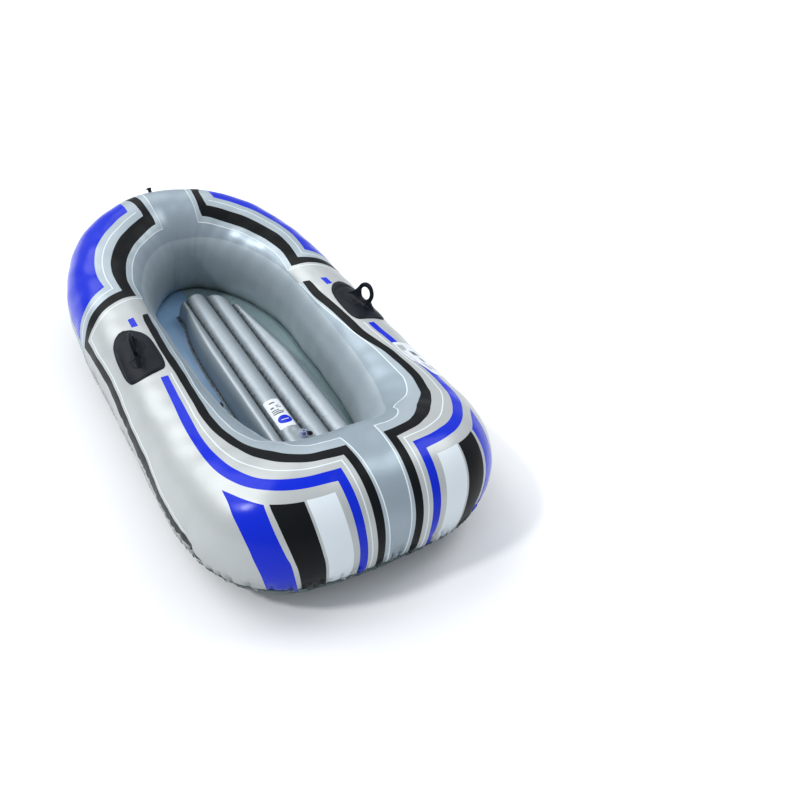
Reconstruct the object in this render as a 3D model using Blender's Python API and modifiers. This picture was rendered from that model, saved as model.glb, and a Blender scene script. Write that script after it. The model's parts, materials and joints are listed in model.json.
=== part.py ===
"""Inflatable boat for one or two people, in metres.

+Z is up, +Y is the bow and +X is starboard.  The origin is on the ground under
the middle of the boat.  The hull is one fat air ring, welded from a printed top
skin, a plain inner wall and a bottom sheet, with a divider inside that makes two
chambers of it.  An air floor with four beams lies in the cockpit.  Each chamber
has a push-in valve, and a rubber oarlock is welded on each side.
"""
import math

import bmesh
import bpy
import numpy as np
from mathutils import Matrix, Vector
from mathutils.bvhtree import BVHTree

# Plan of the hull: the centreline of the air ring, a bow half and a stern half.
BOW_REACH = 0.688
STERN_REACH = 0.896
SIDE_REACH = 0.352
BOW_FULLNESS = 2.25
STERN_FULLNESS = 4.75
SIDE_TAPER = 0.047
# Section of the ring at the bow, bow quarter, beam, stern quarter and stern.
OUTER_REACH = (0.119, 0.158, 0.138, 0.183, 0.177)
INNER_REACH = (0.185, 0.169, 0.123, 0.207, 0.204)
HALF_HEIGHT = (0.198, 0.180, 0.155, 0.175, 0.191)
SECTION_FULLNESS = 2.2
FOOT_FULLNESS = 2.8
# The cockpit's stern corners are rounded off between these angles round the plan.
CORNER_START = math.radians(122)
CORNER_END = math.radians(178)

SHEET = 0.0008
GAP = 0.0003
LAP_STEP = SHEET + GAP
STATIONS = 60
TOP_ROWS = 12
WALL_ROWS = 6

# Angles round the section: 0 is outboard, 90 the crest, 180 the cockpit side.
OUTER_SEAM = math.radians(-24)
LAP_EDGE = math.radians(-18)
BOTTOM_GIRTHS = [math.radians(a) for a in (-36, -50, -65, -78, -90)]
SIDE_SEAM = math.radians(128)
BOW_SEAM_EXTRA = math.radians(38)
WALL_FOOT = math.radians(264)
SEAM_BUTT = math.radians(0.3)
DIVIDER_TOP_BACK = math.radians(7)
DIVIDER_FOOT = math.radians(-75)
DIVIDER_INSET = 0.007

# Air floor: the lines where its webs hold it down, and its two outer edges.
FLOOR_BASE = 0.045
FLOOR_CLEAR = 0.0035
FLOOR_LINES = (-0.126, -0.064, 0.0145, 0.088, 0.175)
FLOOR_MIDDLE = 0.0245
BEAM_VALLEY = 0.106
BEAM_TOP = 0.138
BEAM_STEPS = 8
BEAM_LEAN = math.radians(25)
TAPER_START = 0.03
TAPER_LENGTH = 0.37
PORT_TAPER = 0.50
STARBOARD_TAPER = 0.74
BEAM_BOW_END = 0.520
BEAM_STERN_END = -0.515
BOW_END_MIDDLE = -0.022
BOW_END_CURVE = 7.0
STERN_END_CURVE = 1.9
END_ROUND = 0.045
FLANGE = 0.008
WEB_END_CLEAR = 0.085

# Valves, in millimetres along and across the valve's own axis.
MM = 0.001
VALVE_HOLE_R = 9.5
SEAT_BORE_R = 7.0
SEAT_COLLAR_R = 8.6
SEAT_FLANGE_R = 16.0
SEAT_FOOT = -10.0
SEAT_LIFT = 0.8
FLANGE_THICK = 1.2
SEAT_TOP = 3.4
STEM_R = 6.7
STEM_BORE_R = 4.0
STEM_FOOT = -9.0
STEM_NECK_TOP = 14.2
STEM_RIM_R = 8.2
STEM_RIM_TOP = 16.0
CAP_R = 8.4
CAP_FOOT = 16.3
CAP_TOP = 20.5
PLUG_R = 3.5
PLUG_TIP_R = 3.0
PLUG_DEPTH = 3.5
HINGE_OUT = 11.2
HINGE_UP = 17.8
KNUCKLE_R = 1.2
KNUCKLE_LENGTH = 5.0
STRAP_WIDTH = 4.0
FLAP_R = 5.6
FLAP_THICK = 0.6
FLOOR_VALVE_AT = (-0.001, -0.399)
FLOOR_STRAP_WAY = (0.50, -0.87)
FLOOR_CAP_OPEN = math.radians(185)
VALVE_PAD_FLAT = 0.020
VALVE_PAD_FADE = 0.045
VALVE_PAD_TOP = 0.133
BOW_VALVE_TURN = math.radians(-5.2)
BOW_VALVE_GIRTH = math.radians(67)
WALL_VALVE_TURN = math.radians(-96.8)
WALL_VALVE_GIRTH = math.radians(172)

# Oarlocks: the pad's outline along and across the hull, and the upright with its eye.
OARLOCK_TURN = math.radians(91.3)
OARLOCK_GIRTH = math.radians(76)
PAD_OUTLINE = ((0.088, 0.000), (0.087, 0.022), (0.082, 0.043), (0.067, 0.059), (0.020, 0.067),
               (-0.050, 0.070), (-0.110, 0.067), (-0.150, 0.057), (-0.168, 0.030), (-0.171, 0.000),
               (-0.163, -0.026), (-0.140, -0.044), (-0.080, -0.054), (-0.010, -0.057),
               (0.045, -0.056), (0.073, -0.049), (0.085, -0.028))
PAD_LIFT = 0.0004
PAD_SINK = 0.004
HULL_BLOCK_THICK = 0.015
PAD_EDGE_THICK = 0.0025
PAD_MIDDLE_THICK = 0.0080
PAD_RINGS = 4
EYE_HEIGHT = 0.046
EYE_HALF_WIDTH = 0.023
EYE_HALF_HEIGHT = 0.022
LOOP_HALF_WIDTH = 0.038
LOOP_TOP = 0.085
WAIST_HALF_WIDTH = 0.033
WAIST_HEIGHT = 0.026
FOOT_FORWARD = 0.082
FOOT_AFT = -0.066
FOOT_DEPTH = 0.0035
UPRIGHT_THICK = 0.013
UPRIGHT_TURN = math.radians(12)
ARC_STEPS = 8

# Labels.
LABEL_THICK = 0.0003
LABEL_LIFT = 0.0006
HULL_LABEL_TURN = (math.radians(99.5), math.radians(117.0))
HULL_LABEL_EDGE = (math.radians(82), math.radians(60))
HULL_LABEL_WIDTH = math.radians(27)
HULL_LABEL_STEPS = (11, 5)
FLOOR_LABEL_Y = (-0.350, -0.208)
FLOOR_LABEL_BEAM = 1
FLOOR_LABEL_STEPS = (1, 6)

BOAT_MIDDLE = (BOW_REACH + OUTER_REACH[0] - STERN_REACH - OUTER_REACH[4]) / 2
SECTION_ANGLES = np.radians([0, 45, 90, 135, 180])


def clear_scene():
    for item in list(bpy.data.objects):
        bpy.data.objects.remove(item, do_unlink=True)


def make_collection(name):
    collection = bpy.data.collections.new(name)
    bpy.context.scene.collection.children.link(collection)
    return collection


def make_material(name, colour, roughness, alpha=1.0):
    material = bpy.data.materials.new(name)
    material.use_nodes = True
    shader = material.node_tree.nodes["Principled BSDF"]
    shader.inputs["Base Color"].default_value = (*colour, 1.0)
    shader.inputs["Roughness"].default_value = roughness
    shader.inputs["Metallic"].default_value = 0.0
    shader.inputs["Alpha"].default_value = alpha
    return material


def cosine_series(values):
    """Weights of the smooth even curve through five sizes, bow to stern."""
    orders = np.arange(len(values))
    return np.linalg.solve(np.cos(np.outer(SECTION_ANGLES, orders)), np.array(values))


OUTER_SERIES = cosine_series(OUTER_REACH)
INNER_SERIES = cosine_series(INNER_REACH)
HEIGHT_SERIES = cosine_series(HALF_HEIGHT)


def along_ring(series, turn):
    return sum(weight * math.cos(order * turn) for order, weight in enumerate(series))


def signed_power(value, power):
    return math.copysign(abs(value) ** power, value)


def ring_frame(turn):
    """Centre of the section at an angle round the plan, and its outward direction."""
    forward = math.cos(turn)
    side = math.copysign(1.0, math.sin(turn))
    across = max(abs(math.sin(turn)), 1e-9)
    fullness = BOW_FULLNESS if forward > 0 else STERN_FULLNESS
    reach = BOW_REACH if forward > 0 else STERN_REACH
    u = across ** (2 / fullness)
    v = signed_power(forward, 2 / fullness)
    width = SIDE_REACH * (1 + SIDE_TAPER * v)
    out_x = u ** (fullness - 1) / width
    lean = u ** fullness * SIDE_TAPER / (1 + SIDE_TAPER * v)
    out_y = signed_power(v, fullness - 1) / reach - lean
    length = math.hypot(out_x, out_y)
    centre = Vector((width * u * side, reach * v - BOAT_MIDDLE, 0))
    outward = Vector((out_x / length * side, out_y / length, 0))
    return centre, outward


def offset_inward(turn):
    """Innermost point of the section at an angle, measured square to the centreline."""
    centre, outward = ring_frame(turn)
    return centre - outward * along_ring(INNER_SERIES, turn)


def corner_curve():
    """Ends and control point of the curve that rounds the cockpit's starboard stern corner."""
    start, end = offset_inward(CORNER_START), offset_inward(CORNER_END)
    into = start - offset_inward(CORNER_START - 0.001)
    out_of = end - offset_inward(CORNER_END - 0.001)
    across = into.x * out_of.y - into.y * out_of.x
    gap = end - start
    share = (gap.x * out_of.y - gap.y * out_of.x) / across
    return start, start + into * share, end


def corner_progress():
    """Share of the centreline's length that each turn of the corner has covered."""
    turns = np.linspace(CORNER_START, CORNER_END, 200)
    line = np.array([ring_frame(turn)[0] for turn in turns])
    run = np.concatenate(([0], np.cumsum(np.linalg.norm(np.diff(line, axis=0), axis=1))))
    return turns, run / run[-1]


CORNER = corner_curve()
CORNER_TURNS, CORNER_RUN = corner_progress()


def innermost(turn):
    """Innermost point of the section, with the cockpit's stern corners rounded off."""
    folded = math.remainder(turn, 2 * math.pi)
    if not CORNER_START < abs(folded) < CORNER_END:
        return offset_inward(turn)
    share = float(np.interp(abs(folded), CORNER_TURNS, CORNER_RUN))
    start, control, end = CORNER
    point = start * (1 - share) ** 2 + control * 2 * share * (1 - share) + end * share ** 2
    return Vector((math.copysign(point.x, folded), point.y, 0))


def hull_point(turn, girth, lift=0.0):
    """Point on the hull's skin, and the skin's outward normal; lift moves it off the skin."""
    centre, outward = ring_frame(turn)
    cosine, sine = math.cos(girth), math.sin(girth)
    fullness = FOOT_FULLNESS if cosine < 0 and sine < 0 else SECTION_FULLNESS
    reach = along_ring(OUTER_SERIES, turn)
    if cosine < 0:
        outward = centre - innermost(turn)
        reach = outward.length
        outward = outward / reach
    height = along_ring(HEIGHT_SERIES, turn)
    off = reach * signed_power(cosine, 2 / fullness)
    up = height * signed_power(sine, 2 / fullness)
    normal = outward * (signed_power(cosine, 2 - 2 / fullness) / reach)
    normal = normal + Vector((0, 0, signed_power(sine, 2 - 2 / fullness) / height))
    normal.normalize()
    point = centre + outward * off + Vector((0, 0, height + up + LAP_STEP))
    return point + normal * lift, normal


def seam_girth(turn):
    """The weld between top skin and inner wall runs lower round the bow."""
    return SIDE_SEAM + BOW_SEAM_EXTRA * max(0.0, math.cos(turn)) ** 3


def ring_turns(count):
    """Angles round the plan that are evenly spaced along the crest of the ring."""
    fine = np.linspace(0, 2 * math.pi, 1441)
    crest = np.array([ring_frame(turn)[0] for turn in fine])
    steps = np.linalg.norm(np.diff(crest, axis=0), axis=1)
    run = np.concatenate(([0], np.cumsum(steps)))
    return np.interp(np.arange(count) / count * run[-1], run, fine)


TURNS = ring_turns(STATIONS)


def add_mesh(name, vertices, faces, material, collection, smooth=True):
    mesh = bpy.data.meshes.new(name)
    mesh.from_pydata([tuple(v) for v in vertices], [], faces)
    mesh.update()
    mesh.materials.append(material)
    obj = bpy.data.objects.new(name, mesh)
    collection.objects.link(obj)
    if smooth:
        mesh.shade_smooth()
        mesh.set_sharp_from_angle(angle=math.radians(40))
    return obj


def ring_faces(stations, rows, first_inside=False):
    """Quads of a grid that closes on itself along its first direction."""
    faces = []
    for i in range(stations):
        j = (i + 1) % stations
        for k in range(rows - 1):
            quad = (i * rows + k, j * rows + k, j * rows + k + 1, i * rows + k + 1)
            faces.append(quad[::-1] if first_inside else quad)
    return faces


def grid_faces(columns, rows):
    faces = []
    for i in range(columns - 1):
        for k in range(rows - 1):
            faces.append((i * rows + k, (i + 1) * rows + k, (i + 1) * rows + k + 1, i * rows + k + 1))
    return faces


def add_thickness(obj, thickness=SHEET, offset=-1.0):
    modifier = obj.modifiers.new("sheet", "SOLIDIFY")
    modifier.thickness = thickness
    modifier.offset = offset
    modifier.use_even_offset = False
    return modifier


def add_boolean(obj, other, operation):
    other.hide_render = True
    other.display_type = "WIRE"
    modifier = obj.modifiers.new(other.name, "BOOLEAN")
    modifier.operation = operation
    modifier.object = other
    modifier.solver = "EXACT"


def add_ring_sheet(name, girths_at, material, collection, lift=0.0, thickness=SHEET):
    """A skin that runs all round the ring, over the girth angles that girths_at gives."""
    vertices = []
    for turn in TURNS:
        vertices.extend(hull_point(turn, girth, lift)[0] for girth in girths_at(turn))
    rows = len(girths_at(0.0))
    obj = add_mesh(name, vertices, ring_faces(STATIONS, rows, True), material, collection)
    add_thickness(obj, thickness)
    return obj


def top_skin_girths(turn):
    return [OUTER_SEAM, *np.linspace(LAP_EDGE, seam_girth(turn), TOP_ROWS + 1)]


def inner_wall_girths(turn):
    return list(np.linspace(seam_girth(turn) + SEAM_BUTT, WALL_FOOT, WALL_ROWS + 1))


def add_bottom_sheet(material, collection):
    """The bottom sheet laps up over the top skin's edge and runs flat under the cockpit."""
    girths = [LAP_EDGE, OUTER_SEAM, *BOTTOM_GIRTHS]
    vertices = []
    for turn in TURNS:
        vertices.extend(hull_point(turn, girth, LAP_STEP)[0] for girth in girths)
    rows = len(girths)
    faces = ring_faces(STATIONS, rows)
    faces.append(tuple(i * rows + rows - 1 for i in range(STATIONS)))
    obj = add_mesh("bottom_sheet", vertices, faces, material, collection)
    add_thickness(obj)
    return obj


def add_divider(material, collection):
    """The sheet inside the ring, from the inner seam down to the outboard side of the keel."""
    vertices = []
    for turn in TURNS:
        top = hull_point(turn, seam_girth(turn) - DIVIDER_TOP_BACK, -DIVIDER_INSET)[0]
        foot = hull_point(turn, DIVIDER_FOOT, -DIVIDER_INSET)[0]
        vertices.extend((top, foot))
    obj = add_mesh("chamber_divider", vertices, ring_faces(STATIONS, 2, True), material, collection)
    add_thickness(obj, offset=0.0)
    return obj


def cockpit_outline(height, clear):
    """The inner wall's outline at a height above the bottom sheet, drawn in by clear."""
    points = []
    for turn in TURNS:
        half = along_ring(HEIGHT_SERIES, turn)
        sine = (1 - (height - LAP_STEP) / half) ** (FOOT_FULLNESS / 2)
        point = hull_point(turn, math.pi + math.asin(sine))[0]
        inward = innermost(turn) - ring_frame(turn)[0]
        point = point + inward.normalized() * clear
        points.append((point.x, point.y, height))
    return points


def add_floor_base(material, collection):
    outline = cockpit_outline(FLOOR_BASE, FLOOR_CLEAR)
    obj = add_mesh("floor_base_sheet", outline, [tuple(range(STATIONS))[::-1]], material, collection)
    add_thickness(obj)
    return obj


def floor_lines(y):
    """x of the floor's edges and valleys at y: both outer beams taper towards the bow."""
    lines = list(FLOOR_LINES)
    late = min(1.0, max(0.0, (y - TAPER_START) / TAPER_LENGTH))
    lines[0] = lines[1] - (lines[1] - lines[0]) * (1 - PORT_TAPER * late ** 3)
    lines[4] = lines[3] + (lines[4] - lines[3]) * (1 - STARBOARD_TAPER * late)
    return lines


def beam_share(step):
    """How far across its beam a line lies, and how high between valley and top."""
    angle = BEAM_LEAN + (math.pi - 2 * BEAM_LEAN) * step / BEAM_STEPS
    low = math.sin(BEAM_LEAN)
    return (1 - math.cos(angle) / math.cos(BEAM_LEAN)) / 2, (math.sin(angle) - low) / (1 - low)


def floor_x(beam, step, y):
    lines = floor_lines(y)
    return lines[beam] + (lines[beam + 1] - lines[beam]) * beam_share(step)[0]


def beam_height(beam, step, y):
    """Height of a line along a beam; a tapered beam is lower, and outer sides reach the base."""
    lines = floor_lines(y)
    full = FLOOR_LINES[beam + 1] - FLOOR_LINES[beam]
    plump = ((lines[beam + 1] - lines[beam]) / full) ** 0.5
    outer = (beam == 0 and step < BEAM_STEPS / 2) or (beam == 3 and step > BEAM_STEPS / 2)
    foot = FLOOR_BASE + SHEET + GAP if outer else BEAM_VALLEY
    top = BEAM_VALLEY + (BEAM_TOP - BEAM_VALLEY) * plump
    return foot + (top - foot) * beam_share(step)[1]


def floor_columns():
    """Lines along the floor, each as a beam and a step across it."""
    columns = []
    for beam in range(4):
        columns.extend((beam, step) for step in range(BEAM_STEPS))
    return columns + [(3, BEAM_STEPS)]


def floor_ends(beam, step):
    bow_x = floor_x(beam, step, TAPER_START + TAPER_LENGTH)
    stern_x = floor_x(beam, step, 0.0)
    bow = BEAM_BOW_END - BOW_END_CURVE * (bow_x - BOW_END_MIDDLE) ** 2
    stern = BEAM_STERN_END + STERN_END_CURVE * (stern_x - FLOOR_MIDDLE) ** 2
    return stern, bow


def floor_rows(beam, step):
    """y of each row across the floor: close together at the ends and round the valve."""
    stern, bow = floor_ends(beam, step)
    valve_y = FLOOR_VALVE_AT[1]
    ends = [0.0, 0.06, 0.25, 0.6, 1.0]
    rows = [stern - FLANGE] + [stern + END_ROUND * e for e in ends]
    rows += [valve_y - VALVE_PAD_FLAT, valve_y + VALVE_PAD_FLAT, valve_y + VALVE_PAD_FADE]
    rows += list(np.linspace(rows[-1], bow - END_ROUND, 7)[1:-1])
    rows += [bow - END_ROUND * e for e in ends[::-1]] + [bow + FLANGE]
    return rows


def floor_surface(beam, step, y):
    """Point on the air floor's top sheet."""
    stern, bow = floor_ends(beam, step)
    foot = FLOOR_BASE + SHEET + GAP
    from_end = max(0.0, min(y - stern, bow - y))
    fall = 1 - min(from_end, END_ROUND) / END_ROUND
    height = foot + (beam_height(beam, step, y) - foot) * math.sqrt(max(0.0, 1 - fall ** 2))
    x = floor_x(beam, step, y)
    away = max(abs(x - FLOOR_VALVE_AT[0]), abs(y - FLOOR_VALVE_AT[1]))
    flat = 1 - (away - VALVE_PAD_FLAT) / (VALVE_PAD_FADE - VALVE_PAD_FLAT)
    flat = min(1.0, max(0.0, flat))
    height = height + (VALVE_PAD_TOP - height) * flat * flat * (3 - 2 * flat)
    return Vector((x, y, height))


def add_floor_top(material, collection):
    """Top sheet of the air floor: four beams with round ends and a weld flange all round."""
    columns = floor_columns()
    vertices = []
    first, last = columns[0], columns[-1]
    for column, outward in [(first, -FLANGE)] + [(c, 0.0) for c in columns] + [(last, FLANGE)]:
        for y in floor_rows(*column):
            point = floor_surface(*column, y)
            point.x += outward
            vertices.append(point)
    rows = len(floor_rows(0, 0))
    faces = grid_faces(len(columns) + 2, rows)
    obj = add_mesh("floor_top_sheet", vertices, faces, material, collection)
    add_thickness(obj)
    return obj


def add_floor_webs(material, collection):
    """Upright sheets inside the air floor that hold down the valleys."""
    for number, name in enumerate(("port", "middle", "starboard")):
        x = FLOOR_LINES[number + 1]
        stern, bow = floor_ends(number, BEAM_STEPS)
        low = stern + WEB_END_CLEAR
        if name == "middle":
            low = FLOOR_VALVE_AT[1] + VALVE_PAD_FADE + FLANGE
        high = bow - WEB_END_CLEAR
        foot = FLOOR_BASE + GAP
        head = BEAM_VALLEY - SHEET - 2 * GAP
        bpy.ops.mesh.primitive_cube_add(size=1)
        web = bpy.context.object
        web.name = "floor_web_" + name
        web.data.transform(Matrix.Diagonal((SHEET, high - low, head - foot, 1)))
        web.location = (x, (low + high) / 2, (head + foot) / 2)
        dress(web, material, collection)


def dress(obj, material, collection):
    """Give an object made by an operator its material and its collection."""
    obj.data.materials.clear()
    obj.data.materials.append(material)
    for other in list(obj.users_collection):
        other.objects.unlink(obj)
    collection.objects.link(obj)


def turned(name, profile, material, collection, closed, steps=20):
    """A turned piece: the profile, in mm from the axis and along it, swept round Z."""
    vertices = [(r * MM, 0, z * MM) for r, z in profile]
    edges = [(i, i + 1) for i in range(len(profile) - 1)]
    if closed:
        edges.append((len(profile) - 1, 0))
    mesh = bpy.data.meshes.new(name)
    mesh.from_pydata(vertices, edges, [])
    mesh.materials.append(material)
    obj = bpy.data.objects.new(name, mesh)
    collection.objects.link(obj)
    screw = obj.modifiers.new("turn", "SCREW")
    screw.steps = steps
    screw.render_steps = steps
    screw.use_merge_vertices = True
    screw.merge_threshold = 0.00001
    return obj


def add_block(name, low, high, collection):
    """A guide box between two corners, in mm in the valve's frame."""
    bpy.ops.mesh.primitive_cube_add(size=1)
    block = bpy.context.object
    block.name = name
    size = [(b - a) * MM for a, b in zip(low, high)]
    middle = [(a + b) / 2 * MM for a, b in zip(low, high)]
    block.data.transform(Matrix.Translation(middle) @ Matrix.Diagonal((*size, 1)))
    for other in list(block.users_collection):
        other.objects.unlink(block)
    collection.objects.link(block)
    return block


def add_cylinder(name, radius, low, high, collection, sides=24):
    """A guide cylinder along Z, in mm in the valve's frame."""
    bpy.ops.mesh.primitive_cylinder_add(vertices=sides, radius=radius * MM, depth=(high - low) * MM)
    cylinder = bpy.context.object
    cylinder.name = name
    cylinder.data.transform(Matrix.Translation((0, 0, (high + low) / 2 * MM)))
    for other in list(cylinder.users_collection):
        other.objects.unlink(cylinder)
    collection.objects.link(cylinder)
    return cylinder


def add_empty(name, collection, parent=None, location=(0, 0, 0)):
    empty = bpy.data.objects.new(name, None)
    empty.empty_display_size = 0.02
    empty.location = location
    empty.parent = parent
    collection.objects.link(empty)
    return empty


def valve_seat(name, material, collection):
    return turned(name, ((SEAT_BORE_R, SEAT_TOP), (SEAT_BORE_R, SEAT_FOOT), (SEAT_COLLAR_R, SEAT_FOOT),
                         (SEAT_COLLAR_R, SEAT_LIFT), (SEAT_FLANGE_R, SEAT_LIFT),
                         (SEAT_FLANGE_R, SEAT_LIFT + FLANGE_THICK * 0.6),
                         (SEAT_COLLAR_R + 1.2, SEAT_LIFT + FLANGE_THICK),
                         (SEAT_COLLAR_R, SEAT_TOP))[::-1], material, collection, True)


def valve_stem(name, material, collection, guides):
    """The tube that slides in the seat, with a lug that the cap's strap is moulded to."""
    stem = turned(name, ((STEM_BORE_R, STEM_RIM_TOP), (STEM_BORE_R, STEM_FOOT), (STEM_R, STEM_FOOT),
                         (STEM_R, STEM_NECK_TOP), (STEM_RIM_R, STEM_NECK_TOP + 0.4),
                         (STEM_RIM_R, STEM_RIM_TOP))[::-1], material, collection, True)
    low = (STEM_R + 0.6, -STRAP_WIDTH / 2, STEM_NECK_TOP + 0.6)
    high = (HINGE_OUT + KNUCKLE_R, STRAP_WIDTH / 2, STEM_RIM_TOP)
    add_boolean(stem, add_block(name + "_lug", low, high, guides), "UNION")
    return stem


def valve_cap(name, material, collection, guides):
    """Plug, head and strap in one moulding; it swings on the strap's thin knuckle."""
    cap = turned(name, ((0, CAP_TOP), (CAP_R - 1.2, CAP_TOP), (CAP_R, CAP_TOP - 1.2),
                        (CAP_R, CAP_FOOT + 0.6), (CAP_R - 0.5, CAP_FOOT), (PLUG_R, CAP_FOOT),
                        (PLUG_TIP_R, CAP_FOOT - PLUG_DEPTH), (0, CAP_FOOT - PLUG_DEPTH)),
                 material, collection, False)
    low = (CAP_R - 2.0, -STRAP_WIDTH / 2, HINGE_UP - 0.6)
    high = (HINGE_OUT, STRAP_WIDTH / 2, HINGE_UP + 0.6)
    add_boolean(cap, add_block(name + "_strap", low, high, guides), "UNION")
    half = KNUCKLE_LENGTH / 2
    knuckle = add_cylinder(name + "_knuckle", KNUCKLE_R, -half, half, guides, 12)
    turn = Matrix.Rotation(math.pi / 2, 4, "X")
    knuckle.data.transform(Matrix.Translation((HINGE_OUT * MM, 0, HINGE_UP * MM)) @ turn)
    add_boolean(cap, knuckle, "UNION")
    return cap


def valve_flap(name, material, collection):
    top = STEM_FOOT - 0.3
    flap = add_cylinder(name, FLAP_R, top - FLAP_THICK, top, collection, 20)
    flap.data.materials.append(material)
    return flap


def place(child, parent):
    """Put a piece of a guide's mesh, or a piece, in a parent's frame."""
    child.parent = parent


def add_valve(prefix, frame, sheet, materials, collection, guides, cap_open=0.0):
    """One push-in valve: seat in the sheet's hole, sliding stem, check flap and cap."""
    root = add_empty(prefix + "_axis", collection)
    root.matrix_world = frame
    hinge_at = Vector((HINGE_OUT * MM, 0, HINGE_UP * MM))
    flap_at = Vector((-FLAP_R * MM, 0, (STEM_FOOT - 0.3) * MM))
    cap_axis = add_empty(prefix + "_cap_axis", collection, root, hinge_at)
    cap_axis.rotation_euler = (0, cap_open, 0)
    flap_axis = add_empty(prefix + "_flap_axis", collection, root, flap_at)
    hole = add_cylinder(prefix + "_hole", VALVE_HOLE_R, -25, 25, guides)
    place(hole, root)
    add_boolean(sheet, hole, "DIFFERENCE")
    place(valve_seat(prefix + "_seat", materials["clear"], collection), root)
    stem = valve_stem(prefix + "_stem", materials["clear"], collection, guides)
    cap = valve_cap(prefix + "_cap", materials["cap"], collection, guides)
    flap = valve_flap(prefix + "_flap", materials["clear"], collection)
    place(stem, root)
    place(cap, cap_axis)
    place(flap, flap_axis)
    cap.location = -hinge_at
    flap.location = -flap_at
    for piece, holder in ((stem, stem), (cap, cap)):
        for modifier in piece.modifiers:
            if modifier.type == "BOOLEAN":
                place(modifier.object, holder)


def sheet_frame(sheet, near, along):
    """Frame on the sheet's facet nearest to a point: Z out of the sheet, X towards along."""
    mesh = sheet.data
    tree = BVHTree.FromPolygons([v.co for v in mesh.vertices], [p.vertices for p in mesh.polygons])
    point, z_axis = tree.find_nearest(near)[:2]
    x_axis = (along - z_axis * along.dot(z_axis)).normalized()
    y_axis = z_axis.cross(x_axis)
    return Matrix.Translation(point) @ Matrix((x_axis, y_axis, z_axis)).transposed().to_4x4()


def pad_point(side, along, across, lift):
    """Point of the pad at distances along and across the hull from the oarlock's middle."""
    half = along_ring(OUTER_SERIES, OARLOCK_TURN)
    girth = OARLOCK_GIRTH - across / half
    base = ring_frame(OARLOCK_TURN)[0]
    ahead = ring_frame(OARLOCK_TURN - 0.01)[0]
    turn = OARLOCK_TURN - along * 0.01 / (ahead - base).length
    point, normal = hull_point(turn * side, girth, lift)
    return point


def add_oarlock(side_name, side, hull_block, material, collection, guides):
    """Rubber pad that fits the top skin, with an upright that ends in the eye for the oar."""
    count = len(PAD_OUTLINE)
    vertices = []
    for layer in (0, 1):
        for ring in range(PAD_RINGS, 0, -1):
            share = ring / PAD_RINGS
            swell = 1 - share ** 4
            thick = PAD_EDGE_THICK + (PAD_MIDDLE_THICK - PAD_EDGE_THICK) * swell
            lift = thick if layer else -PAD_SINK
            for along, across in PAD_OUTLINE:
                vertices.append(pad_point(side, along * share, across * share, lift))
        vertices.append(pad_point(side, 0, 0, PAD_MIDDLE_THICK if layer else -PAD_SINK))
    size = PAD_RINGS * count + 1
    faces = []
    for i in range(count):
        j = (i + 1) % count
        for ring in range(PAD_RINGS - 1):
            a, b = ring * count + i, ring * count + j
            faces.append((b, a, a + count, b + count))
            faces.append((a + size, b + size, b + size + count, a + size + count))
        last = (PAD_RINGS - 1) * count
        faces.append((last + j, last + i, size - 1))
        faces.append((last + i + size, last + j + size, 2 * size - 1))
        faces.append((i, j, j + size, i + size))
    pad = add_mesh("oarlock_" + side_name, vertices, faces, material, collection)
    pad.data.validate()
    tidy = bmesh.new()
    tidy.from_mesh(pad.data)
    bmesh.ops.recalc_face_normals(tidy, faces=tidy.faces)
    tidy.to_mesh(pad.data)
    tidy.free()
    upright = add_upright("oarlock_upright_" + side_name, guides)
    point, normal = hull_point(OARLOCK_TURN * side, OARLOCK_GIRTH, PAD_LIFT)
    turned = Matrix.Rotation(UPRIGHT_TURN * side, 4, "Y")
    upright.matrix_world = upright_frame(point, normal) @ turned
    add_boolean(pad, upright, "UNION")
    add_boolean(pad, hull_block, "DIFFERENCE")
    return pad


def upright_frame(point, normal):
    """Frame with X forward, Y up out of the pad and Z across the boat."""
    y_axis = normal.normalized()
    x_axis = Vector((0, 1, 0))
    x_axis = (x_axis - y_axis * x_axis.dot(y_axis)).normalized()
    z_axis = x_axis.cross(y_axis)
    return Matrix.Translation(point) @ Matrix((x_axis, y_axis, z_axis)).transposed().to_4x4()


def add_upright(name, collection):
    """Flat outline of the upright with its eye, extruded to its thickness."""
    outline = [(FOOT_AFT, FOOT_DEPTH), (FOOT_FORWARD, FOOT_DEPTH), (FOOT_FORWARD, PAD_EDGE_THICK * 2),
               (FOOT_FORWARD * 0.72, 0.013), (LOOP_HALF_WIDTH + 0.008, WAIST_HEIGHT - 0.004)]
    for step in range(ARC_STEPS + 1):
        angle = math.pi * step / ARC_STEPS
        rise = (LOOP_TOP - EYE_HEIGHT) * math.sin(angle)
        outline.append((LOOP_HALF_WIDTH * math.cos(angle), EYE_HEIGHT + rise))
    outline += [(-WAIST_HALF_WIDTH, WAIST_HEIGHT), (-WAIST_HALF_WIDTH - 0.010, 0.014),
                (FOOT_AFT, PAD_EDGE_THICK * 2)]
    eye = []
    for step in range(2 * ARC_STEPS):
        angle = math.pi * step / ARC_STEPS
        eye.append((EYE_HALF_WIDTH * math.cos(angle), EYE_HEIGHT + EYE_HALF_HEIGHT * math.sin(angle)))
    curve = bpy.data.curves.new(name, "CURVE")
    curve.dimensions = "2D"
    curve.fill_mode = "BOTH"
    curve.extrude = UPRIGHT_THICK / 2
    for points in (outline, eye):
        spline = curve.splines.new("POLY")
        spline.points.add(len(points) - 1)
        for target, (x, y) in zip(spline.points, points):
            target.co = (x, y, 0, 1)
        spline.use_cyclic_u = True
    return curve_to_mesh(bpy.data.objects.new(name, curve), collection)


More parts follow.
